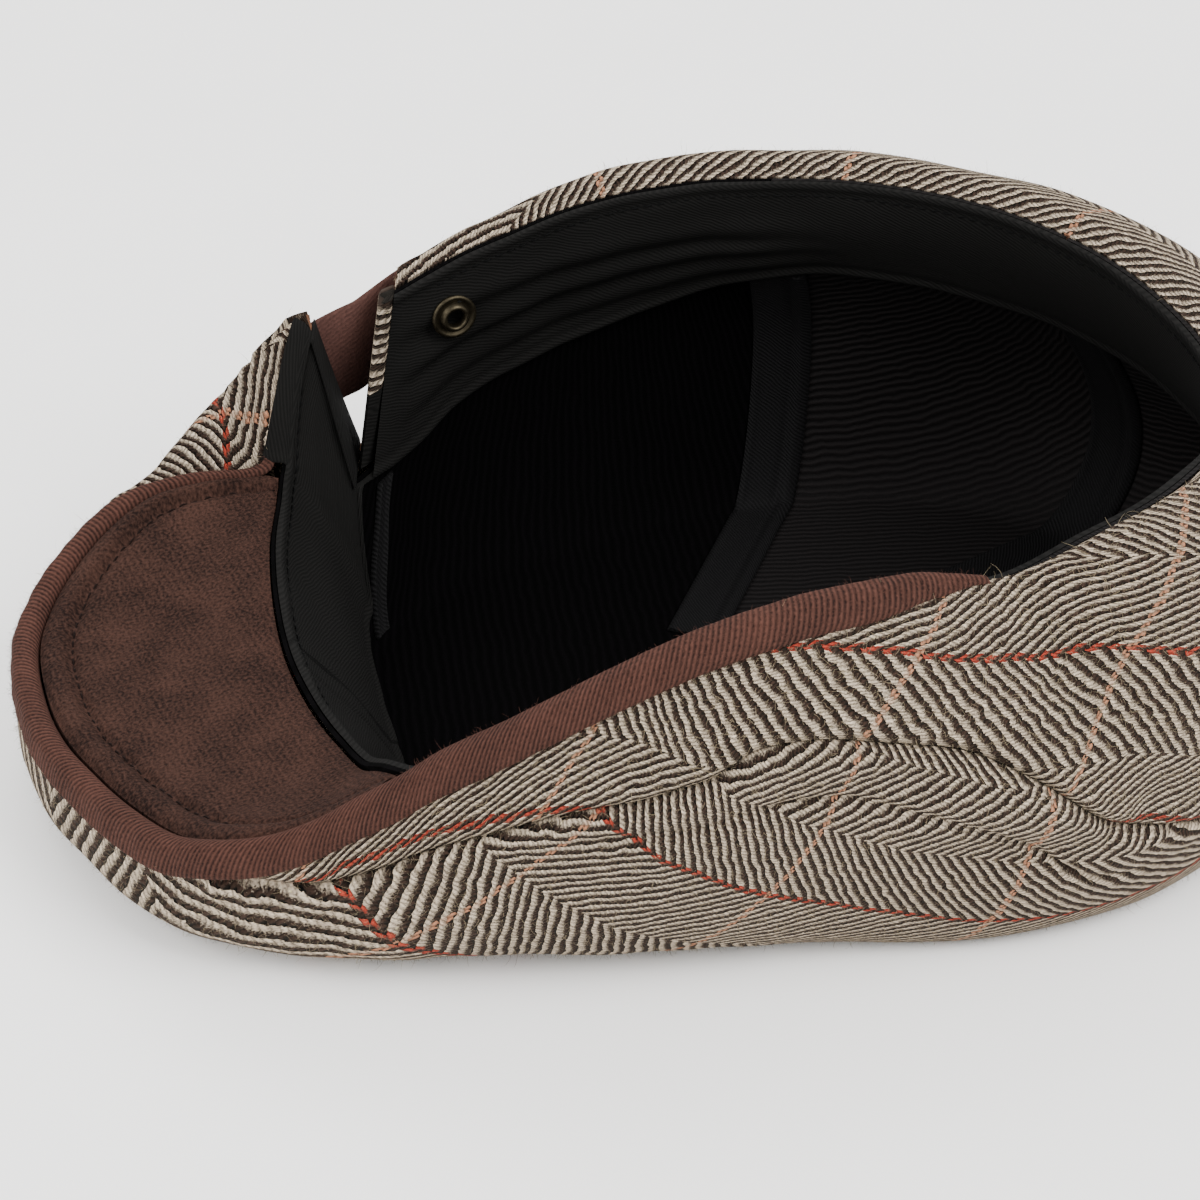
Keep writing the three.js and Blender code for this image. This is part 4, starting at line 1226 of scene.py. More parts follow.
class Finish(Enum):
    """All the finishes of the cap."""

    NEAR_TWEED = HerringboneTweed(
        "tweed_near", slant=-1.0, warp_line_next=60, weft_line_gain=0.26
    )
    FAR_TWEED = HerringboneTweed("tweed_far")
    TOP_TWEED = HerringboneTweed(
        "tweed_top", sett=0.8, column=30, warp_line_every=180, warp_line_at=135,
        warp_line_next=-60, weft_line_at=-25,
    )
    EDGE_TWEED = HerringboneTweed(
        "tweed_edge", warp_line_at=-90, weft_line_every=400, weft_line_at=-90
    )
    BRUSHED = RibbedWool(
        "brushed_wool", "#160c09", "#3b2720", 1.6, 0.06, nap=1.5, relief=0.8, sheen=0.08,
        contrast=3.0,
    )
    BINDING = RibbedWool(
        "wool_binding", "#1e120f", "#4c3129", 1.15, 0.38, sheen=0.15, contrast=1.9
    )
    STRAP = RibbedWool(
        "wool_strap", "#2c1c19", "#523832", 1.2, 0.15, sheen=0.12, strip=Strip.ACROSS
    )
    # The lining twill in a lighter lit copy for the gores and a darker copy with painted shade for
    # the front panel, which lies in shade.
    LINING = Twill("lining_twill_painted_light", "#050404", "#161313", 2.3, 0.8, 0.9, 0.25)
    SHADED_FRONT_LINING = Twill(
        "front_lining_twill_painted_shade", "#010101", "#050405", 2.3, 0.9, -0.07, 0.25, gloss=0.03
    )
    TAPE = Twill("twill_tape", "#040404", "#121112", 1.0, 0.8, 1.0, 0.12)
    SWEATBAND = Twill("sweatband_cotton", "#080807", "#151413", 0.8, 0.9, 0.5, 0.08)
    BRASS = AgedBrass()
    BLACK_THREAD = SewingThread("black_thread", "#060606")
    BROWN_THREAD = SewingThread("brown_thread", "#150b08")
    PALE_HAIR = SewingThread("pale_wool_hair", "#8f8168")
    BROWN_HAIR = SewingThread("brown_wool_hair", "#4a2f27")
    BOARD = PaleBoard()

    @cache
    def material(self) -> bpy.types.Material:
        """The finish, built the first time that it is asked for."""
        return self.value.build()


class Slot(Enum):
    """Material slots of the record."""

    TWEED = "tweed"
    BRUSHED = "brushed_wool"
    EDGE = "edge_wool"
    LINING = "lining"
    TAPE = "tape"
    SWEATBAND = "sweatband"
    STUD = "stud"


def dress(
    made: bpy.types.Object, finish: Finish, slot: Slot, *nodes: str
) -> bpy.types.Object:
    """Gives a piece its finish and sets it on the frame.

    Args:
        made: The piece.
        finish: Its finish.
        slot: Its material slot in the record; not used.
        *nodes: Nodes of the frame that it stands for.

    Returns:
        The piece.
    """
    made.data.materials.clear()
    made.data.materials.append(finish.material())
    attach(made, "root")
    if nodes:
        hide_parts(*nodes)
    LOG.info("%s: %d faces", made.name, len(made.data.polygons))
    return made


@dataclass(frozen=True)
class Notch:
    """The wedge cut out of the far side over the ear, for the adjuster.

    Sizes are in millimetres. Its direction runs through the wall, and each side is given by
    its places across that direction at the bottom and at the top.
    """

    turn: float = 300.0
    through: tuple[float, float] = (0.2, 0.98)
    bottom: float = 38.0
    top: float = 98.0
    left: tuple[float, float] = (-66.9, -82.0)
    right: tuple[float, float] = (-66.3, -57.6)
    near: float = 30.0
    far: float = 130.0

    def spot(self, at: np.ndarray, through: np.ndarray | float, z: np.ndarray) -> np.ndarray:
        """Points by their place in the notch.

        Args:
            at: Distances across the notch.
            through: Distances through the wall.
            z: Heights.

        Returns:
            Array with three coordinates for each point.
        """
        x, y = self.through
        place = (at * y + through * x, through * y - at * x, z)
        return np.stack(np.broadcast_arrays(*place), axis=-1)

    def side(self, z: np.ndarray, ends: tuple[float, float]) -> np.ndarray:
        """Places of one side at a height, from its places at the bottom and the top."""
        return ends[0] + (ends[1] - ends[0]) * (z - self.bottom) / (self.top - self.bottom)

    def cut(self, made: bpy.types.Object) -> None:
        """Cuts the wedge out of a wall.

        Args:
            made: The wall's object, whose mesh is changed.
        """
        facing = FACING_WIDTH + GAP
        at, z = np.array([
            (self.left[1], self.top), (self.left[0], self.bottom),
            (self.right[0] + facing, self.bottom), (self.right[1] + facing, self.top),
        ]).T
        corners = np.concatenate([self.spot(at, self.near, z), self.spot(at, self.far, z)])
        faces = [(0, 1, 2, 3), (7, 6, 5, 4), (0, 4, 5, 1), (1, 5, 6, 2), (2, 6, 7, 3),
                 (3, 7, 4, 0)]
        wedge = MeshMaker.build("notch_wedge", corners, faces)
        cutter = made.modifiers.new("notch", "BOOLEAN")
        cutter.operation = "DIFFERENCE"
        cutter.solver = "MANIFOLD"
        cutter.object = wedge
        graph = bpy.context.evaluated_depsgraph_get()
        mesh = bpy.data.meshes.new_from_object(made.evaluated_get(graph))
        made.modifiers.clear()
        made.data = mesh
        bpy.data.objects.remove(wedge)
        mesh.set_sharp_from_angle(angle=SHARP_ANGLE)


NOTCH = Notch()


@dataclass
class TweedWalls:
    """The outside of the cap: one crown panel and two side panels of tweed.

    Sizes are in millimetres and turns in degrees. A bend is the angle through which a panel's
    grain swings, a shear is how far it slides for each millimetre, and the eased grain is
    crowded together over the front of the crown.
    """

    step: float = 1.0
    seam_sink: float = 1.5
    seam_half: float = 1.1
    puff: float = 0.9
    puff_at: float = 3.6
    puff_half: float = 2.6
    pucker: float = 0.35
    sags: Sizes = ((0.55, 0.0, 26.0), (0.22, 40.0, 9.0))
    welt_puff: float = 1.5
    welt_sink: float = 1.5
    welt_half: float = 1.2
    calm_foot: float = 14.0
    calm_edge: float = 2.0
    inside_push: float = 0.6
    top_rows: int = 46
    side_rows: int = 30
    mid_row: int = 12
    seam_step: float = 0.15
    seam_fade: float = 5.0
    foot_shares: tuple[float, ...] = (0.9, 0.72, 0.5, 0.25, 0.002)
    shear_side: float = 0.8
    stretch_side: float = 0.15
    peach_turn: float = 110.6
    peach_at: float = 3.0
    line_drop: float = 8.0
    line_turn: float = 322.3
    line_from: tuple[float, float] = (14.0, -7.0)
    bend: float = 55.0
    bend_from: float = 245.0
    bend_to: float = 312.0
    bend_pull: float = 0.6
    shear_top: float = 0.8
    turn_top: float = 0.43
    turn_over: float = 15.0
    eased: float = 0.46
    eased_to: float = 62.0
    eased_fade: float = 25.0
    eased_at: float = -92.0

    def relief(self, turns: np.ndarray, depth: np.ndarray, below: np.ndarray) -> np.ndarray:
        """Push out of the cloth from its dents, seams and slack.

        Args:
            turns: Turns of the points.
            depth: Depths along the cloth from the cap's edge.
            below: Signed distance under the side seam.

        Returns:
            Push in millimetres.
        """
        push = np.zeros_like(depth)
        for turn, down, sink, wide, tall in DENTS:
            push -= sink * bump(turns, turn, wide) * bump(depth, down, tall)
        near = np.abs(below)
        push -= self.seam_sink * bump(near, 0, self.seam_half)
        pucker = 1 + self.pucker * np.sin(turns * 1.9 + 0.6 * np.sin(turns * 0.7))
        push += self.puff * pucker * bump(near, self.puff_at, self.puff_half)
        push += sum(high * slack(turns + turn, depth, size) for high, turn, size in self.sags)
        return push

    def welt(self, turns: np.ndarray, below: np.ndarray) -> np.ndarray:
        """Push of the puffed strip between the near side seam and its topstitched crease.

        Args:
            turns: Turns of the points.
            below: Signed distance under the side seam.

        Returns:
            Push in millimetres.
        """
        row = CREASE_TABLE.at(turns % FULL_TURN)
        crease = row["below"]
        puff = self.welt_puff * bump(below, crease * 0.5, np.maximum(crease * 0.36, 1))
        return row["strength"] * (puff - self.welt_sink * bump(below, crease, self.welt_half))

    def rows(self, start: np.ndarray, end: np.ndarray, count: int, ends: bool) -> np.ndarray:
        """Depths of the drawn rows, closer near a sewn edge.

        Args:
            start: First depth for each turn.
            end: Last depth for each turn.
            count: Number of steps.
            ends: Whether the rows close up at the last depth too.

        Returns:
            Array of shape (turns, count + 1).
        """
        u = np.linspace(0, 1, count + 1)
        u = closing(u, 0.55) if ends else u**1.35
        return start[:, None] + (end - start)[:, None] * u

    def shell(
        self, name: str, turns: np.ndarray, depth: np.ndarray, below: np.ndarray,
        grain: np.ndarray, flat: np.ndarray | None = None,
    ) -> bpy.types.Object:
        """Makes one panel.

        Args:
            name: Name of the panel.
            turns: Turns of its columns.
            depth: Depths of its rows for each turn.
            below: Signed distance of each point under the side seam.
            grain: Cloth coordinates of each point, those of the flat included.
            flat: Radii of the rows on the flat under the crown, if the panel goes all round
                and has them.

        Returns:
            The panel.
        """
        sections = wall_sections(turns)
        outer = spots(turns, sections.at(depth))
        wide = np.broadcast_to(turns[:, None], depth.shape)
        fade = np.clip((sections.total - depth) / self.calm_foot, 0, 1)
        fade = fade * np.clip(depth / self.calm_edge + 0.3, 0, 1)
        push = (self.relief(wide, depth, below) + self.welt(wide, below)) * fade
        out = normals_of(outer, flat is not None)
        outer = outer + out * push[..., None]
        outer[..., 2] = np.maximum(outer[..., 2], 0.0)
        inner = spots(turns, sections.inset(depth, np.full(depth.shape, TWEED)))
        inner = inner + out * (push * self.inside_push)[..., None]
        if flat is not None:
            rest = np.zeros(flat.shape)
            outer = np.concatenate([outer, spots(turns, pair(flat, rest))], axis=1)
            inner = np.concatenate([inner, spots(turns, pair(flat, rest + TWEED))], axis=1)
        return MeshMaker.shell(name, outer, inner, grain, flat is not None)

    def top(self) -> bpy.types.Object:
        """Makes the crown's panel, with the flat that it rests on.

        Returns:
            The panel.
        """
        turns = np.arange(0, FULL_TURN, self.step)
        w = WALL_TABLE.at(turns)
        foot = w["foot_r"][:, None]
        sided = np.minimum(turns - SIDE_START, SIDE_END - turns) / self.seam_fade + 1
        sided = np.clip(sided, 0, 1)
        start = (w["depth"] + self.seam_step) * sided * sided * (3 - 2 * sided)
        sections = wall_sections(turns)
        depth = self.rows(start, sections.total[:, 0], self.top_rows, False)
        below = np.where(sided[:, None] > 0, depth - w["depth"][:, None], 99.0)
        flat = foot * np.array(self.foot_shares)
        up = sections.total - depth
        rho = np.concatenate([foot + up, flat], axis=1)
        up = np.concatenate([up, np.zeros(flat.shape)], axis=1)
        side = np.sin(np.radians(turns))[:, None]
        a = -rho * np.cos(np.radians(turns))[:, None]
        b = side * (rho + self.turn_top * a * (1 - np.exp(-up / self.turn_over)))
        a = a - self.shear_top * up * np.abs(side)
        half = FULL_TURN / 2
        front = (self.eased_to - np.abs((turns + half) % FULL_TURN - half)) / self.eased_fade
        eased = self.eased * np.clip(front, 0, 1)[:, None] * np.clip(2 * rho / foot - 1, 0, 1)
        grain = pair(a - eased * (a - self.eased_at), b)
        made = self.shell("tweed_crown", turns, depth, below, grain, flat)
        return dress(made, Finish.TOP_TWEED, Slot.TWEED, "top_panel")

    def near_grain(
        self, turns: np.ndarray, arc: np.ndarray, depth: np.ndarray
    ) -> tuple[np.ndarray, np.ndarray]:
        """Cloth coordinates of the near panel, which has slid under its edge.

        Args:
            turns: Turns of the panel's columns.
            arc: Length along the panel.
            depth: Depths of the rows for each turn.

        Returns:
            Coordinates along the warp and along the weft.
        """
        slide = SLIDE_TABLE.at(turns)["slide"][:, None]
        a = arc[:, None] + self.shear_side * (depth - self.line_drop - np.maximum(slide, 0))
        a = a - np.interp(self.peach_turn, turns, arc) - self.peach_at
        return a + self.stretch_side * np.maximum(a, 0), depth - self.line_drop - slide

    def far_grain(
        self, turns: np.ndarray, arc: np.ndarray, depth: np.ndarray
    ) -> tuple[np.ndarray, np.ndarray]:
        """Cloth coordinates of the far panel, cut as a bend with straight grain.

        Args:
            turns: Turns of the panel's columns.
            arc: Length along the panel.
            depth: Depths of the rows for each turn.

        Returns:
            Coordinates along the warp and along the weft.
        """
        u = np.clip((turns - self.bend_from) / (self.bend_to - self.bend_from), 0, 1)
        heading = np.radians(self.bend * u * u * (3 - 2 * u))
        run = np.gradient(arc)
        along = np.cumsum(np.cos(heading) * run)
        across = np.cumsum(np.sin(heading) * run)
        along = along - np.interp(self.line_turn, turns, along) + self.line_from[0]
        across = across - np.interp(self.line_turn, turns, across) + self.line_from[1]
        a = along[:, None] - depth * np.sin(heading)[:, None]
        b = across[:, None] + depth * np.cos(heading)[:, None]
        pulled = np.clip((turns - self.bend_to) / 4, 0, 1)[:, None] * np.minimum(b, 0)
        return a + self.bend_pull * pulled, b

    def side(self, name: str, start: float, end: float, node: str) -> bpy.types.Object:
        """Makes one side panel.

        Args:
            name: Name of the panel.
            start: First turn.
            end: Last turn.
            node: Node of the frame that it stands for.

        Returns:
            The panel.
        """
        turns = steps_between(start, end, self.step)
        seam = WALL_TABLE.at(turns)["depth"]
        depth = self.rows(np.zeros(len(turns)), seam - self.seam_step, self.side_rows, True)
        middle = wall_sections(turns).at(depth[:, self.mid_row, None])[:, 0]
        arc = lengths(spots(turns, middle))
        near = end < BACK_SEAM
        grain = (self.near_grain if near else self.far_grain)(turns, arc, depth)
        made = self.shell(name, turns, depth, depth - seam[:, None], pair(*grain))
        if not near:
            NOTCH.cut(made)
        return dress(made, Finish.NEAR_TWEED if near else Finish.FAR_TWEED, Slot.TWEED, node)


@dataclass
class Stitches:
    """A row of machine stitches, each a short thread that dips into the cloth at both ends."""

    pitch: float = 3.0
    length: float = 2.3
    radius: float = 0.22
    first: float = 0.4
    stations: int = 6
    sides: int = 6

    def row(
        self, name: str, path: np.ndarray, up: np.ndarray, finish: Finish, slot: Slot
    ) -> bpy.types.Object:
        """Lays the stitches along a line on the cloth.

        Args:
            name: Name of the row.
            path: Points of the line, of shape (n, 3), in millimetres.
            up: Directions out of the cloth, one for all points or one for each.
            finish: Finish of the thread.
            slot: Its material slot in the record.

        Returns:
            The row.
        """
        along = lengths(path)
        count = int(along[-1] / self.pitch)
        u = np.linspace(0, 1, self.stations)
        at = (np.arange(count)[:, None] * self.pitch + self.first + u * self.length).ravel()
        up = np.broadcast_to(up, path.shape)
        spot, out, ahead = (
            np.stack([np.interp(place, along, line[:, k]) for k in range(3)], axis=1)
            for place, line in ((at, path), (at, up), (at + 0.3, path))
        )
        out = unit(out)
        side = unit(np.cross(ahead - spot, out))
        arch = np.tile(np.sin(np.pi * u), count)[:, None]
        centre = spot + out * self.radius * (1.7 * arch - 0.9)
        angle = np.linspace(0, 2 * np.pi, self.sides + 1)[:-1]
        ring = np.cos(angle)[:, None] * side[:, None] + np.sin(angle)[:, None] * out[:, None]
        points = centre[:, None] + ring * self.radius * (0.45 + 0.55 * arch)[:, None]
        size = self.stations * self.sides
        faces = [face for k in range(count)
                 for face in MeshMaker.rod(self.stations, self.sides, k * size)]
        return dress(MeshMaker.build(name, points, faces), finish, slot)


@dataclass
class Peak:
    """The stiffened peak, seen from its brushed underside. Sizes are in millimetres."""

    step: float = 0.75
    rows: int = 64
    channel: float = 7.0
    channel_sink: float = 1.6
    channel_half: float = 1.2
    dimple: float = 0.25
    stitch: float = 3.6
    dish: float = 0.8
    rise: float = 0.78
    crowding: float = 1.6
    sag: tuple[float, float] = (0.35, 18.0)
    edge_ridges: Sizes = ((-0.9, 0, 0.8), (1.0, 3.4, 2.2))
    root_ridges: Sizes = ((-0.8, 0, 1.5),)

    def build(self) -> bpy.types.Object:
        """Makes the peak with its stitched channel.

        Returns:
            The peak's underside.
        """
        turns = steps_between(PEAK_START, PEAK_END, self.step)
        w, b, band = WALL_TABLE.at(turns), BOWL_TABLE.at(turns), BAND_TABLE.at(turns)
        clear = GAP + 0.1
        r0 = b["open_r"] + clear
        r1 = w["edge_r"] - band["reach"] - clear
        z1 = w["edge_z"] + band["roll"] * self.rise
        u = 1 - (1 - np.linspace(0, 1, self.rows + 1)[None, :]) ** self.crowding
        r = r0[:, None] + (r1 - r0)[:, None] * u
        z = b["open_z"][:, None] + (z1 - b["open_z"])[:, None] * u - self.dish * np.sin(np.pi * u)
        far = r1[:, None] - r
        wide = np.broadcast_to(turns[:, None], r.shape)
        along = np.radians(wide) * r1[:, None]
        dimple = 1 - self.dimple + self.dimple * np.cos(along * 2 * math.pi / self.stitch)
        push = ridges(far, self.edge_ridges) + ridges(r - r0[:, None], self.root_ridges)
        push -= self.channel_sink * dimple * bump(far, self.channel, self.channel_half)
        push += self.sag[0] * slack(wide, r, self.sag[1])
        top = spots(turns, pair(r, z + push))
        under = spots(turns, pair(r, z - PEAK_BOARD))
        level = [np.interp(self.channel, f[::-1], q[::-1]) for f, q in zip(far, z + push)]
        path = spots(turns, pair(r1 - self.channel, np.array(level)))
        Stitches().row("stitches_peak", path, np.array([0.0, 0.0, 1.0]), Finish.BROWN_THREAD,
                       Slot.BRUSHED)
        made = MeshMaker.shell("peak_underside", top, under, top[..., :2])
        return dress(made, Finish.BRUSHED, Slot.BRUSHED, "peak")


@dataclass
class EdgeBinding:
    """The wool binding rolled over the peak's outer edge and along the near rim."""

    step: float = 0.7
    tuck: float = 0.3
    roundings: int = 2

    def build(self) -> bpy.types.Object:
        """Makes the roll.

        Returns:
            The roll.
        """
        turns = steps_between(BAND_START, BAND_END, self.step)
        w, b = WALL_TABLE.at(turns), BAND_TABLE.at(turns)
        sections = wall_sections(turns)
        lean = np.radians(b["lean"])
        roll, reach, leg, swell = (b[k] for k in ("roll", "reach", "leg", "swell"))
        zero = np.zeros(len(turns))
        wave = 0.12 * np.sin(turns * 2.3) + 0.1 * np.sin(turns * 0.9 + 1)
        profile = (
            (zero - GAP, -reach),
            (-0.5 * roll, -reach - 0.1),
            (-0.86 * roll, -0.8 * reach),
            (-roll, -0.4 * reach + wave),
            (-0.86 * roll, 0.1 * swell + wave),
            (-0.4 * roll, 0.8 * swell + wave),
            (0.12 * leg, swell + wave),
            (0.5 * leg, swell + wave),
            (0.85 * leg, self.tuck + (swell - self.tuck) * 0.7),
            (leg, zero + self.tuck),
            (np.maximum(0.6 * leg, leg - 1), zero),
            (zero - GAP, zero),
        )
        ring = []
        for down, out in profile:
            depth = np.maximum(down, 0)[:, None]
            over = (sections.at(depth) + sections.normal(depth) * out[:, None, None])[:, 0]
            high = pair(w["edge_r"] + np.cos(lean) * down + np.sin(lean) * out,
                        w["edge_z"] - np.sin(lean) * down + np.cos(lean) * out)
            ring.append(np.where((down > 0)[:, None], over, high))
        section = np.stack(ring, axis=1)
        for _ in range(self.roundings):
            after = np.roll(section, -1, axis=1)
            section = np.stack([0.75 * section + 0.25 * after, 0.25 * section + 0.75 * after],
                               axis=2).reshape(len(turns), -1, 2)
        made = MeshMaker.tube("edge_roll", spots(turns, section))
        return dress(made, Finish.BINDING, Slot.EDGE, "edge_band")


@dataclass
class Lining:
    """The black twill lining in four panels, its seam tapes and the sweatband.

    Sizes are in millimetres. A fold is its turn, its height over the floor and how far it
    stands out, a pleat of the sweatband is its share of the width, its tilt and its rise, and
    a ridge is its height, its place from an edge and its half width.
    """

    step: float = 1.0
    rows: int = 40
    flat_shares: tuple[float, ...] = (0.8, 0.55, 0.3, 0.001)
    folds: Sizes = ((344, 5, 0.9), (352, 12, 0.8), (360, 7, 0.7))
    fold_half: float = 1.3
    fold_turns: float = 11.0
    fold_tilt: float = 0.12
    calm_open: float = 20.0
    calm_floor: float = 10.0
    calm_turns: float = 6.0
    sag: tuple[float, float] = (0.25, 20.0)
    tape_rows: tuple[int, int] = (30, 13)
    tape_columns: int = 27
    tape_ridges: Sizes = (
        (0.75, 1.8, 1.2), (-0.4, 4.2, 0.8), (0.35, TAPE_WIDTH - 1.3, 0.6),
    )
    band_rows: int = 36
    low_ridges: Sizes = ((0.6, 1.0, 0.9), (-0.35, 2.6, 0.6))
    open_ridges: Sizes = ((0.5, 0.9, 0.9), (-0.3, 2.4, 0.5))
    pleat_ridges: Sizes = ((1.0, 0, 2.6), (-0.8, 4.2, 1.4))
    join_ridges: Sizes = ((-0.8, 5.7, 0.5),)
    band_sag: tuple[float, float] = (0.3, 11.0)
    pleats: Sizes = (
        (0.3, 0.10, 0.9), (0.52, 0.06, 1.1), (0.74, 0.03, 0.8),
    )
    pleat_turn: float = 268.0
    pleats_from: tuple[float, float] = (228.0, 14.0)
    pleats_to: tuple[float, float] = (303.0, 8.0)
    band_radius: float = 85.0
    stitch_depth: float = 3.0
    stitch_turns: tuple[float, float] = (317.0, 656.0)
    turning_turns: tuple[float, float] = (314.3, 321.8)
    turning_lift: tuple[float, float] = (1.4, 0.8)
    strip_turns: tuple[float, float] = (307.3, 321.0)
    strip_heights: tuple[float, float] = (34.0, 3.5)
    strip_half: float = 3.0
    strip_lift: tuple[float, float] = (0.7, 0.2)
    strip_columns: int = 25
    stations: int = 30

    def panel(self, name: str, start: float, end: float, node: str) -> bpy.types.Object:
        """Makes one panel from the opening to the middle of the floor.

        Args:
            name: Name of the panel.
            start: First turn.
            end: Last turn.
            node: Node of the frame that it stands for.

        Returns:
            The panel.
        """
        turns = steps_between(start, end, self.step)
        sections = bowl_sections(turns)
        depth = sections.total * np.linspace(0, 1, self.rows + 1)[None, :]
        left = sections.total - depth
        wide = np.broadcast_to(turns[:, None], depth.shape)
        fade = np.clip(depth / self.calm_open, 0, 1) * np.clip(left / self.calm_floor, 0, 1)
        for inside in (wide - start, end - wide):
            fade = fade * np.clip(inside / self.calm_turns, 0, 1)
        puff = self.sag[0] * slack(wide, depth, self.sag[1]) * fade
        for turn, up, deep in self.folds:
            fold = bump(left, up + (wide - turn) * self.fold_tilt, self.fold_half)
            puff += deep * bump(wide, turn, self.fold_turns) * fold
        foot = sections.points[:, -1:, 0]
        flat = foot * np.array(self.flat_shares)
        level = np.full(flat.shape, TWEED + GAP)
        outer, inner = (
            np.concatenate([spots(turns, sections.inset(depth, lift + puff)),
                            spots(turns, pair(flat, level + lift))], axis=1)
            for lift in (0.0, LINING)
        )
        run = np.concatenate([left + foot, flat], axis=1)
        t = np.radians(turns)[:, None] - math.radians((start + end) / 2)
        made = MeshMaker.shell(name, outer, inner, pair(run * np.sin(t), run * np.cos(t)))
        # The front panel is dressed in the darker copy of the twill with painted shade; the gores
        # keep the lighter lit copy.
        finish = Finish.LINING
        if start < NOTCH.turn < end:
            NOTCH.cut(made)
            finish = Finish.SHADED_FRONT_LINING
        return dress(made, finish, Slot.LINING, node)

    def tape(self, name: str, turn: float, node: str) -> bpy.types.Object:
        """Makes one seam tape with a raised right edge.

        Args:
            name: Name of the tape.
            turn: Its turn.
            node: Node of the frame that it stands for.

        Returns:
            The tape.
        """
        across = np.linspace(-0.5, 0.5, self.tape_columns) * TAPE_WIDTH
        middle = bowl_sections(np.array([turn]))
        start = BOWL_TABLE.at(np.array([turn]))["band"] + 2 * GAP
        count, more = self.tape_rows
        depth = start + (middle.total[0] - start) * np.linspace(0, 1, count)
        foot = middle.points[0, -1, 0]
        flat = np.linspace(foot, TAPE_TIP, more + 1)[1:]
        radii = np.concatenate([middle.at(depth[None])[0, :, 0], flat])
        edge = TAPE_WIDTH / 2
        relief = ridges(across + edge, self.tape_ridges)
        relief -= 3 * np.clip(np.abs(across) / edge - 0.9, 0, 1)
        lift = LINING + GAP
        under, over = [], []
        for side, rise in zip(across, relief):
            t = turn + np.degrees(np.arctan2(side, radii))
            lines = bowl_sections(t[:count])
            deep = depth[:, None] * (lines.total / middle.total[0, 0])
            floor = pair(np.hypot(flat, side), np.full(more, TWEED + GAP + lift))
            for column, thick in ((under, 0.0), (over, TAPE_THICK + rise)):
                wall = lines.inset(deep, np.full(deep.shape, lift + thick))[:, 0]
                column.append(spots(t, np.concatenate([wall, floor + (0.0, thick)])))
        under, over = np.array(under), np.array(over)
        grain = pair(across[:, None], lengths(over[len(across) // 2])[None, :])
        return dress(MeshMaker.shell(name, under, over, grain), Finish.TAPE, Slot.TAPE, node)

    def band(self) -> bpy.types.Object:
        """Makes the sweatband with its rolled edges and its pleats.

        Returns:
            The sweatband.
        """
        turns = np.arange(0, FULL_TURN, self.step)
        sections = bowl_sections(turns)
        width = BOWL_TABLE.at(turns)["band"][:, None]
        depth = width * closing(np.linspace(0, 1, self.band_rows + 1)[None, :], 0.5)
        wide = np.broadcast_to(turns[:, None], depth.shape)
        back = np.full(depth.shape, LINING + GAP)
        rise = ridges(width - depth, self.low_ridges) + ridges(depth, self.open_ridges)
        (first, come), (last, go) = self.pleats_from, self.pleats_to
        far = np.clip((wide - first) / come, 0, 1) * np.clip((last - wide) / go, 0, 1)
        for share, tilt, tall in self.pleats:
            line = depth - width * share + (wide - self.pleat_turn) * tilt
            rise += far * tall * ridges(line, self.pleat_ridges)
        rise += self.band_sag[0] * slack(wide, depth, self.band_sag[1])
        rise += ridges(wide, self.join_ridges)
        outer = spots(turns, sections.inset(depth, back))
        inner = spots(turns, sections.inset(depth, back + SWEATBAND + np.maximum(rise, -0.7)))
        grain = pair(np.radians(wide) * self.band_radius, depth)
        made = MeshMaker.shell("sweatband_cloth", outer, inner, grain, True)
        NOTCH.cut(made)
        return dress(made, Finish.SWEATBAND, Slot.SWEATBAND, "sweatband")

    def stitching(self) -> bpy.types.Object:
        """Sews the row below the sweatband's open edge, from side to side of the notch.

        Returns:
            The row.
        """
        turns = np.arange(*self.stitch_turns, self.step) % FULL_TURN
        sections = bowl_sections(turns)
        depth = np.full((len(turns), 1), self.stitch_depth)
        path = spots(turns, sections.inset(depth, LINING + GAP + SWEATBAND)[:, 0])
        into = spots(turns, -sections.normal(depth)[:, 0])
        return Stitches().row("stitches_sweatband", path, into, Finish.BLACK_THREAD,
                              Slot.SWEATBAND)

    def turning(self) -> bpy.types.Object:
        """Makes the sweatband's turned edge, laid over the tweed's lip left of the notch.

        Returns:
            The turned edge.
        """
        turns = np.linspace(*self.turning_turns, 24)
        b = BOWL_TABLE.at(turns)
        reach = np.linspace(0.3, 0.7, len(turns))[:, None] * np.array([[0.5, 1.0]])
        lip = wall_sections(turns).at(reach)
        face = pair(b["open_r"] - LINING - GAP - SWEATBAND, b["open_z"] - 1.5)
        rim = pair(b["open_r"] - 0.6, b["open_z"] + 0.7)
        line = np.concatenate([face[:, None], rim[:, None], lip], axis=1)
        d = np.gradient(line, axis=1)
        out = unit(np.stack([-d[..., 1], d[..., 0]], axis=-1))
        grain = pair(turns[:, None] * MM_PER_DEGREE, lengths(line))
        over, under = (spots(turns, line + lift * out) for lift in self.turning_lift)
        made = MeshMaker.shell("sweatband_turning", over, under, grain)
        return dress(made, Finish.SWEATBAND, Slot.SWEATBAND)

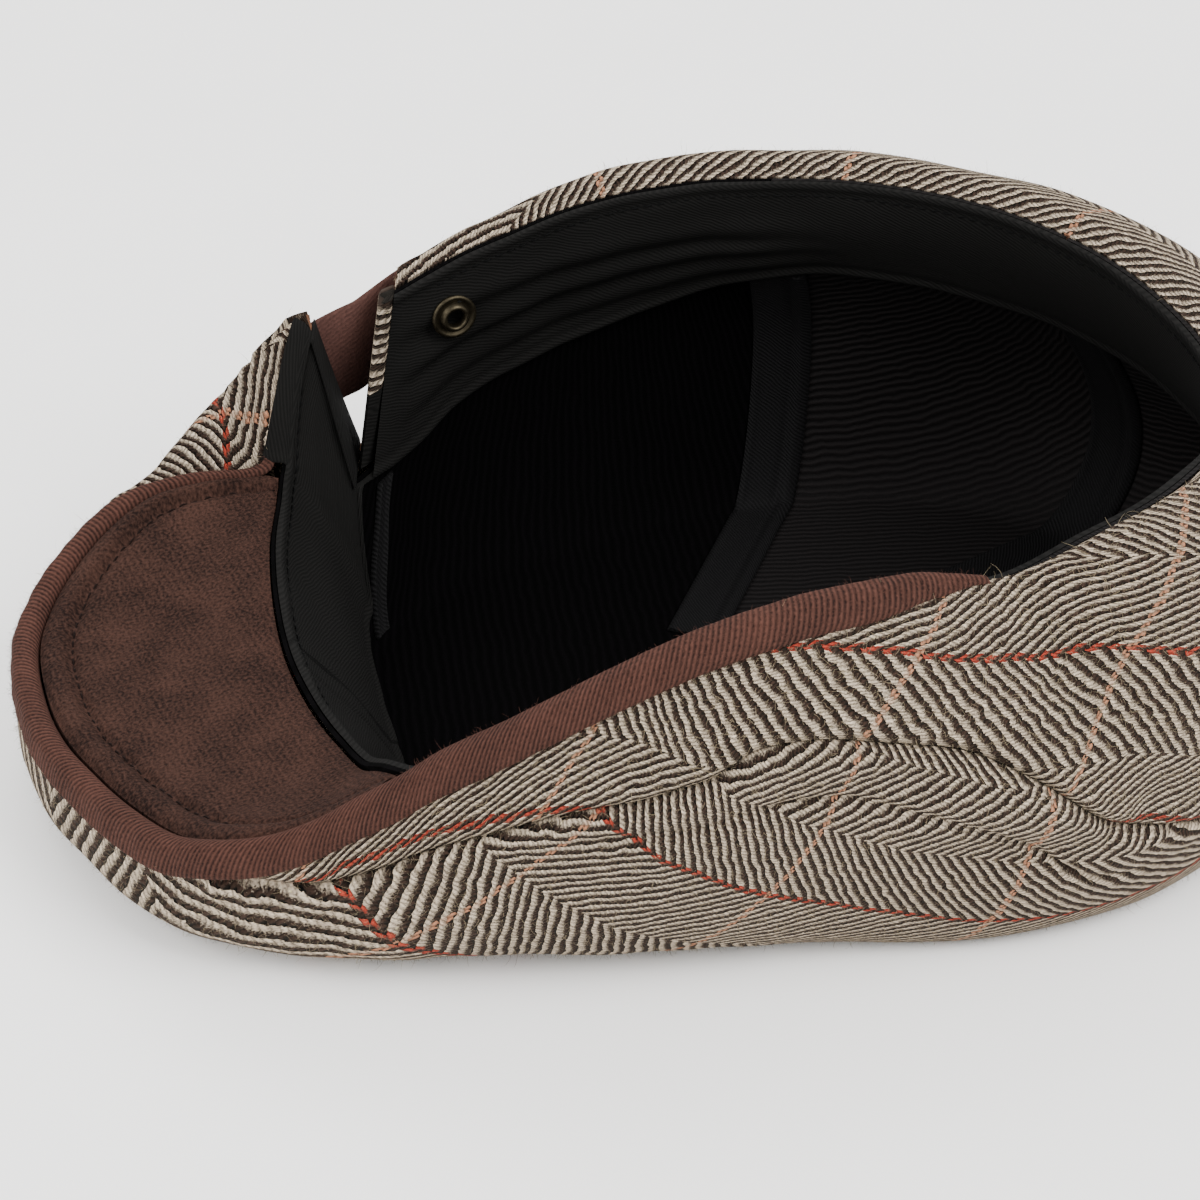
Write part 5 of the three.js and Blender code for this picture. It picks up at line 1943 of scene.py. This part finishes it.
    def fold(self) -> bpy.types.Object:
        """Makes the narrow seam strip that runs down the front lining from the notch.

        Returns:
            The strip.
        """
        z = np.linspace(*self.strip_heights, self.stations)
        turns = np.linspace(*self.strip_turns, self.stations)
        across = np.linspace(-self.strip_half, self.strip_half, self.strip_columns)
        out = np.abs(across)
        rise = 0.8 * bump(out, 2.2, 0.6) - 1.2 * np.clip(out - self.strip_half + 0.3, 0, 1)
        over, under = [], []
        for side, puff in zip(across, rise):
            t = turns + side * 0.75
            sections = bowl_sections(t)
            depth = np.array([[np.interp(-h, -p[:, 1], a)]
                              for h, p, a in zip(z, sections.points, sections.along)])
            for column, lift in zip((over, under), np.array(self.strip_lift) + (puff, 0)):
                place = sections.inset(depth, np.full(depth.shape, LINING + lift))
                column.append(spots(t, place[:, 0]))
        made = MeshMaker.shell("lining_front_fold", np.array(over), np.array(under),
                               pair(across[:, None], -z[None, :]))
        return dress(made, Finish.TAPE, Slot.LINING)


@dataclass
class Adjuster:
    """The notch's facing, the strap outside it and the press stud's ring.

    Sizes are in millimetres and turns in degrees.
    """

    row: float = 0.8
    right_turn: float = 301.0
    left_turn: float = 314.0
    tweed_from: float = 56.0
    tweed_to: float = 76.5
    selvage_to: float = 73.0
    selvage: tuple[float, float] = (0.1, 0.6)
    past_facing: float = 0.26
    strap_start: float = 291.0
    strap_end: float = 317.0
    strap_height: float = 60.5
    corner: float = 3.0
    hem: float = 2.4
    hem_inset: int = 6
    ring_turn: float = 291.5
    ring_depth: float = 13.0
    ring_tip: float = 0.16
    ring_radius: float = 5.4
    ring_hole: float = 2.1
    ring_height: float = 2.2

    def edge(
        self, name: str, low: float, high: float, right: bool, spread: tuple[float, float]
    ) -> bpy.types.Object:
        """Makes cloth folded round one side of the notch.

        Args:
            name: Name of the piece.
            low: Height of its lower end.
            high: Height of its upper end.
            right: Whether it is on the notch's right side.
            spread: Reach across the notch, from the side's own line.

        Returns:
            The folded cloth.
        """
        turn = np.array([self.right_turn if right else self.left_turn])
        z = np.linspace(low, high, 2 + int((high - low) / self.row))
        line = NOTCH.side(z, NOTCH.right if right else NOTCH.left)
        radii = {}
        for wall in (wall_sections, bowl_sections):
            r, h = wall(turn).points[0].T
            order = np.argsort(h, kind="stable")
            radii[wall] = np.interp(z, h[order], r[order])
        inside = -LINING - GAP - SWEATBAND - 0.3
        first, last = spread
        soft = min(0.5, (last - first) / 3)
        around = (
            (first + soft, bowl_sections, inside), (first, bowl_sections, inside + 0.9),
            (first, wall_sections, -0.6), (first + soft, wall_sections, 0.2),
            (last - soft, wall_sections, 0.2), (last, wall_sections, -0.6),
            (last, bowl_sections, inside + 0.9), (last - soft, bowl_sections, inside),
        )
        ring = []
        for across, wall, shift in around:
            at = line + across
            ring.append(NOTCH.spot(at, np.sqrt((radii[wall] + shift) ** 2 - at * at), z))
        grain = pair(((z - low) * 1.67)[:, None], np.linspace(10.5, 11.5, len(around)))
        return MeshMaker.tube(name, np.stack(ring, axis=1), grain)

    def edges(self) -> None:
        """Makes the tweed turned in round the notch's right side and the dark cloth elsewhere."""
        low, wide = NOTCH.bottom, (0.0, FACING_WIDTH + self.past_facing)
        dress(self.edge("notch_edge", self.tweed_from, self.tweed_to, True, wide),
              Finish.EDGE_TWEED, Slot.TWEED, "notch_facing")
        dress(self.edge("notch_edge_low", low + 1, self.tweed_from - 0.2, True, wide),
              Finish.SWEATBAND, Slot.SWEATBAND, "notch_facing")
        dress(self.edge("notch_selvage", low + 0.5, self.selvage_to, False, self.selvage),
              Finish.SWEATBAND, Slot.SWEATBAND)

    def strap(self) -> bpy.types.Object:
        """Makes the strap with its stitched edges.

        Returns:
            The strap.
        """
        turns = np.linspace(self.strap_start, self.strap_end, 79)
        sections = wall_sections(turns)
        middle = self.strap_height + (308 - turns) * 0.3 - np.maximum(0, turns - 311)
        near_end = np.minimum(turns - self.strap_start, self.strap_end - turns) * MM_PER_DEGREE
        cut = np.maximum(self.corner - near_end, 0)
        corner = self.corner - np.sqrt(np.maximum(self.corner**2 - cut**2, 0))
        half = STRAP_WIDTH / 2 - corner
        low, high = middle - half, middle + half
        r = np.array([p[p[:, 1] > bottom - 4, 0].max()
                      for p, bottom in zip(sections.points, low)]) + 0.8
        thick = STRAP_THICK
        outline = [
            (0.0, low), (0.0, middle), (0.0, high), (0.6, high + 0.5), (1.0, high - 0.6),
            (0.8, high - self.hem), (1.0, high - 4), (1.0, middle), (1.0, low + 4),
            (0.8, low + self.hem), (1.0, low + 0.6), (0.6, low - 0.5),
        ]
        ring = np.stack([pair(r + thick * share, level) for share, level in outline], axis=1)
        made = MeshMaker.tube("strap_cloth", spots(turns, ring))
        inner = slice(self.hem_inset, -self.hem_inset)
        rows = {}
        for name, level in (("low", low + self.hem), ("high", high - self.hem)):
            rows[name] = spots(turns, pair(r + thick * 0.85, level))[inner]
        for name, k in (("back", self.hem_inset), ("front", -self.hem_inset - 1)):
            level = np.linspace(low[k] + self.hem, high[k] - self.hem, 12)
            rows[name] = spots(np.full(12, turns[k]), pair(r[k] + thick, level))
        for name, path in rows.items():
            Stitches().row(f"stitches_strap_{name}", path, path * np.array([1.0, 1.0, 0.0]),
                           Finish.BROWN_THREAD, Slot.EDGE)
        return dress(made, Finish.STRAP, Slot.EDGE, "adjuster_strap")

    def ring(self) -> bpy.types.Object:
        """Makes the stud's flanged ring, its hole seen through to the dark cloth.

        Returns:
            The ring.
        """
        places = np.array([(2, 0), (-2, 0), (0, 2), (0, -2), (0, 0)], float)
        turns = self.ring_turn + places[:, 0]
        depth = self.ring_depth + places[:, 1:]
        face = np.full(depth.shape, LINING + GAP + SWEATBAND)
        on = spots(turns, bowl_sections(turns).inset(depth, face)[:, 0])
        axis, seat = unit(np.cross(on[0] - on[1], on[2] - on[3])), on[4]
        if axis[:2] @ seat[:2] > 0:
            axis = -axis
        seat = seat + axis * (GAP + 0.45)
        axis = unit(axis + np.array([0.0, 0.0, self.ring_tip]))
        side = unit(np.cross(axis, (0, 0, 1)))
        up = np.cross(side, axis)
        rim, hole, top = self.ring_radius, self.ring_hole, self.ring_height
        profile = np.array([
            (hole, 0.0), (rim - 0.4, 0.0), (rim, 0.3), (rim, 0.8), (rim - 0.4, 1.15),
            (rim - 0.9, 1.1), (rim - 1.3, 0.7), (rim - 1.8, 0.7), (hole + 1.3, top - 0.6),
            (hole + 0.9, top - 0.1), (hole + 0.4, top), (hole + 0.1, top - 0.3), (hole, top - 0.8),
        ])
        angle = np.linspace(0, 2 * np.pi, 73)[:-1]
        circle = np.cos(angle)[:, None] * side + np.sin(angle)[:, None] * up
        rings = seat + profile[None, :, :1] * circle[:, None, :] + profile[None, :, 1:] * axis
        faces = quads(*rings.shape[:2], ring=True).tolist()
        return dress(MeshMaker.build("stud_ring", rings, faces), Finish.BRASS, Slot.STUD,
                     "ring_snap")


@dataclass
class Fuzz:
    """Loose hairs standing out of the wool, as short bent ribbons.

    A joint is how far a hair has run along the cloth, how far it stands, how far it bends and
    its share of the thickness.
    """

    seed: int = 7
    thick: float = 0.06
    lowest: float = 2.0
    floor: float = 0.05
    root_depth: float = 0.1
    least_stand: float = 0.12
    stand: float = 0.55
    joints: Sizes = (
        (0.35, 0.6, 0.0, 0.9), (0.75, 1.0, 0.12, 0.7), (1.0, 0.9, 0.3, 0.25),
    )

    def grow(
        self, name: str, skin: bpy.types.Object, count: int, length: float, finish: Finish,
        slot: Slot,
    ) -> bpy.types.Object:
        """Grows hairs on the outward faces of a piece.

        Args:
            name: Name of the hairs.
            skin: The piece that they grow on.
            count: Number of hairs.
            length: Typical length in millimetres.
            finish: Their finish.
            slot: Their material slot.

        Returns:
            The hairs.
        """
        rng = np.random.default_rng(self.seed + len(name))
        p = triangles(skin.data) / MM
        n = np.cross(p[:, 1] - p[:, 0], p[:, 2] - p[:, 0])
        size = np.linalg.norm(n, axis=1)
        middle = p.mean(axis=1)
        outward = (n[:, :2] * middle[:, :2]).sum(axis=1) > -10 * size
        weight = size * outward * (middle[:, 2] > self.lowest)
        pick = rng.choice(len(p), count, p=weight / weight.sum())
        u, v = rng.random((2, count, 1))
        u, v = np.where(u + v > 1, 1 - u, u), np.where(u + v > 1, 1 - v, v)
        root = p[pick, 0] + u * (p[pick, 1] - p[pick, 0]) + v * (p[pick, 2] - p[pick, 0])
        up = n[pick] / size[pick, None]
        lie = rng.normal(size=(count, 3))
        lie = unit(lie - (lie * up).sum(axis=1, keepdims=True) * up)
        bend = rng.normal(size=(count, 3))
        reach = length * rng.gamma(4.0, 0.25, (count, 1))
        stand = rng.random((count, 1)) * self.stand + self.least_stand
        across = np.cross(up, lie) * self.thick / 2
        foot = root - self.root_depth * up
        points = [foot - across, foot + across]
        for run, rise, swing, share in self.joints:
            spot = root + reach * (run * lie + rise * stand * up + swing * bend)
            points += [spot - across * share, spot + across * share]
        body = np.stack(points, axis=1)
        body[..., 2] = np.maximum(body[..., 2], self.floor)
        corner = np.array([(0, 1, 3, 2), (2, 3, 5, 4), (4, 5, 7, 6)])
        faces = (np.arange(count)[None, :, None] * len(points) + corner[:, None]).reshape(-1, 4)
        mesh = bpy.data.meshes.new(name)
        mesh.from_pydata((body.reshape(-1, 3) * MM).tolist(), [], faces.tolist())
        mesh.shade_smooth()
        return dress(link(name, mesh), finish, slot)


@dataclass(frozen=True)
class Softbox:
    """A square panel of light aimed at the cap, in metres and watts."""

    name: str
    place: tuple[float, float, float]
    size: float
    power: float

    def hang(self) -> None:
        """Adds the light."""
        data = bpy.data.lights.new(self.name, "AREA")
        data.size = self.size
        data.energy = self.power
        aim(link(self.name, data), self.place, (0.0, 0.0, 0.0))


@dataclass(frozen=True)
class Studio:
    """White board, soft light and the camera, in metres and degrees."""

    azimuth: float = -12.0
    elevation: float = 36.0
    distance: float = 0.700
    lens: float = 95.4
    sensor: float = 36.0
    target: tuple[float, float, float] = (-0.010, 0.005, 0.035)
    board_half: float = 3.0
    board_drop: float = 0.0002
    sky: float = 1.55
    lights: tuple[Softbox, ...] = (
        Softbox("softbox_left", (-1.2, -0.5, 1.1), 1.0, 20.0),
        Softbox("softbox_right", (0.9, -0.8, 1.3), 1.0, 36.0),
        Softbox("softbox_back", (-0.2, 1.1, 1.3), 1.2, 14.0),
    )

    def camera(self) -> None:
        """Sets up the camera."""
        data = bpy.data.cameras.new("camera")
        data.lens, data.sensor_width = self.lens, self.sensor
        data.clip_start, data.clip_end = 0.02, 20.0
        a, e = math.radians(self.azimuth), math.radians(self.elevation)
        back = Vector((math.sin(a) * math.cos(e), -math.cos(a) * math.cos(e), math.sin(e)))
        made = link("camera", data)
        aim(made, Vector(self.target) + back * self.distance, self.target)
        bpy.context.scene.camera = made

    def build(self) -> None:
        """Lays the board and lights it."""
        half = self.board_half
        board = bpy.data.meshes.new("board")
        board.from_pydata([(-half, -half, 0), (half, -half, 0), (half, half, 0), (-half, half, 0)],
                          [], [(0, 1, 2, 3)])
        board.materials.append(Finish.BOARD.material())
        floor = link("board", board)
        floor.location.z = -self.board_drop
        world = bpy.data.worlds.new("studio")
        world.use_nodes = True
        sky = world.node_tree.nodes["Background"].inputs
        sky[0].default_value, sky[1].default_value = (1, 1, 1, 1), self.sky
        bpy.context.scene.world = world
        for light in self.lights:
            light.hang()


def main() -> None:
    """Builds the cap in order."""
    logging.basicConfig(level=logging.INFO, format="%(name)s %(message)s")
    studio = Studio()
    studio.camera()
    walls = TweedWalls()
    crown = walls.top()
    near = walls.side("tweed_side_near", SIDE_START, BACK_SEAM - SEAM_HALF, "side_panel_right")
    far = walls.side("tweed_side_far", BACK_SEAM + SEAM_HALF, SIDE_END, "side_panel_left")
    Peak().build()
    roll = EdgeBinding().build()
    lining = Lining()
    lining.panel("lining_front_cloth", FRONT_START, FRONT_END, "lining_front")
    for name, start, end in GORES:
        lining.panel(f"lining_{name}_cloth", start + 2 * SEAM_HALF, end - 2 * SEAM_HALF,
                     f"lining_{name}")
    for name, turn in TAPES:
        lining.tape(f"tape_{name}_cloth", turn, f"seam_tape_{name}")
    lining.band()
    lining.stitching()
    lining.turning()
    lining.fold()
    adjuster = Adjuster()
    adjuster.edges()
    adjuster.strap()
    adjuster.ring()
    fuzz = Fuzz()
    for name, skin, count in (("crown", crown, 14000), ("near", near, 14000), ("far", far, 7000)):
        fuzz.grow(f"hair_{name}", skin, count, 1.2, Finish.PALE_HAIR, Slot.TWEED)
    fuzz.grow("hair_roll", roll, 9000, 0.9, Finish.BROWN_HAIR, Slot.EDGE)
    studio.build()
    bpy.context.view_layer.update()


if __name__ == "__main__":
    main()
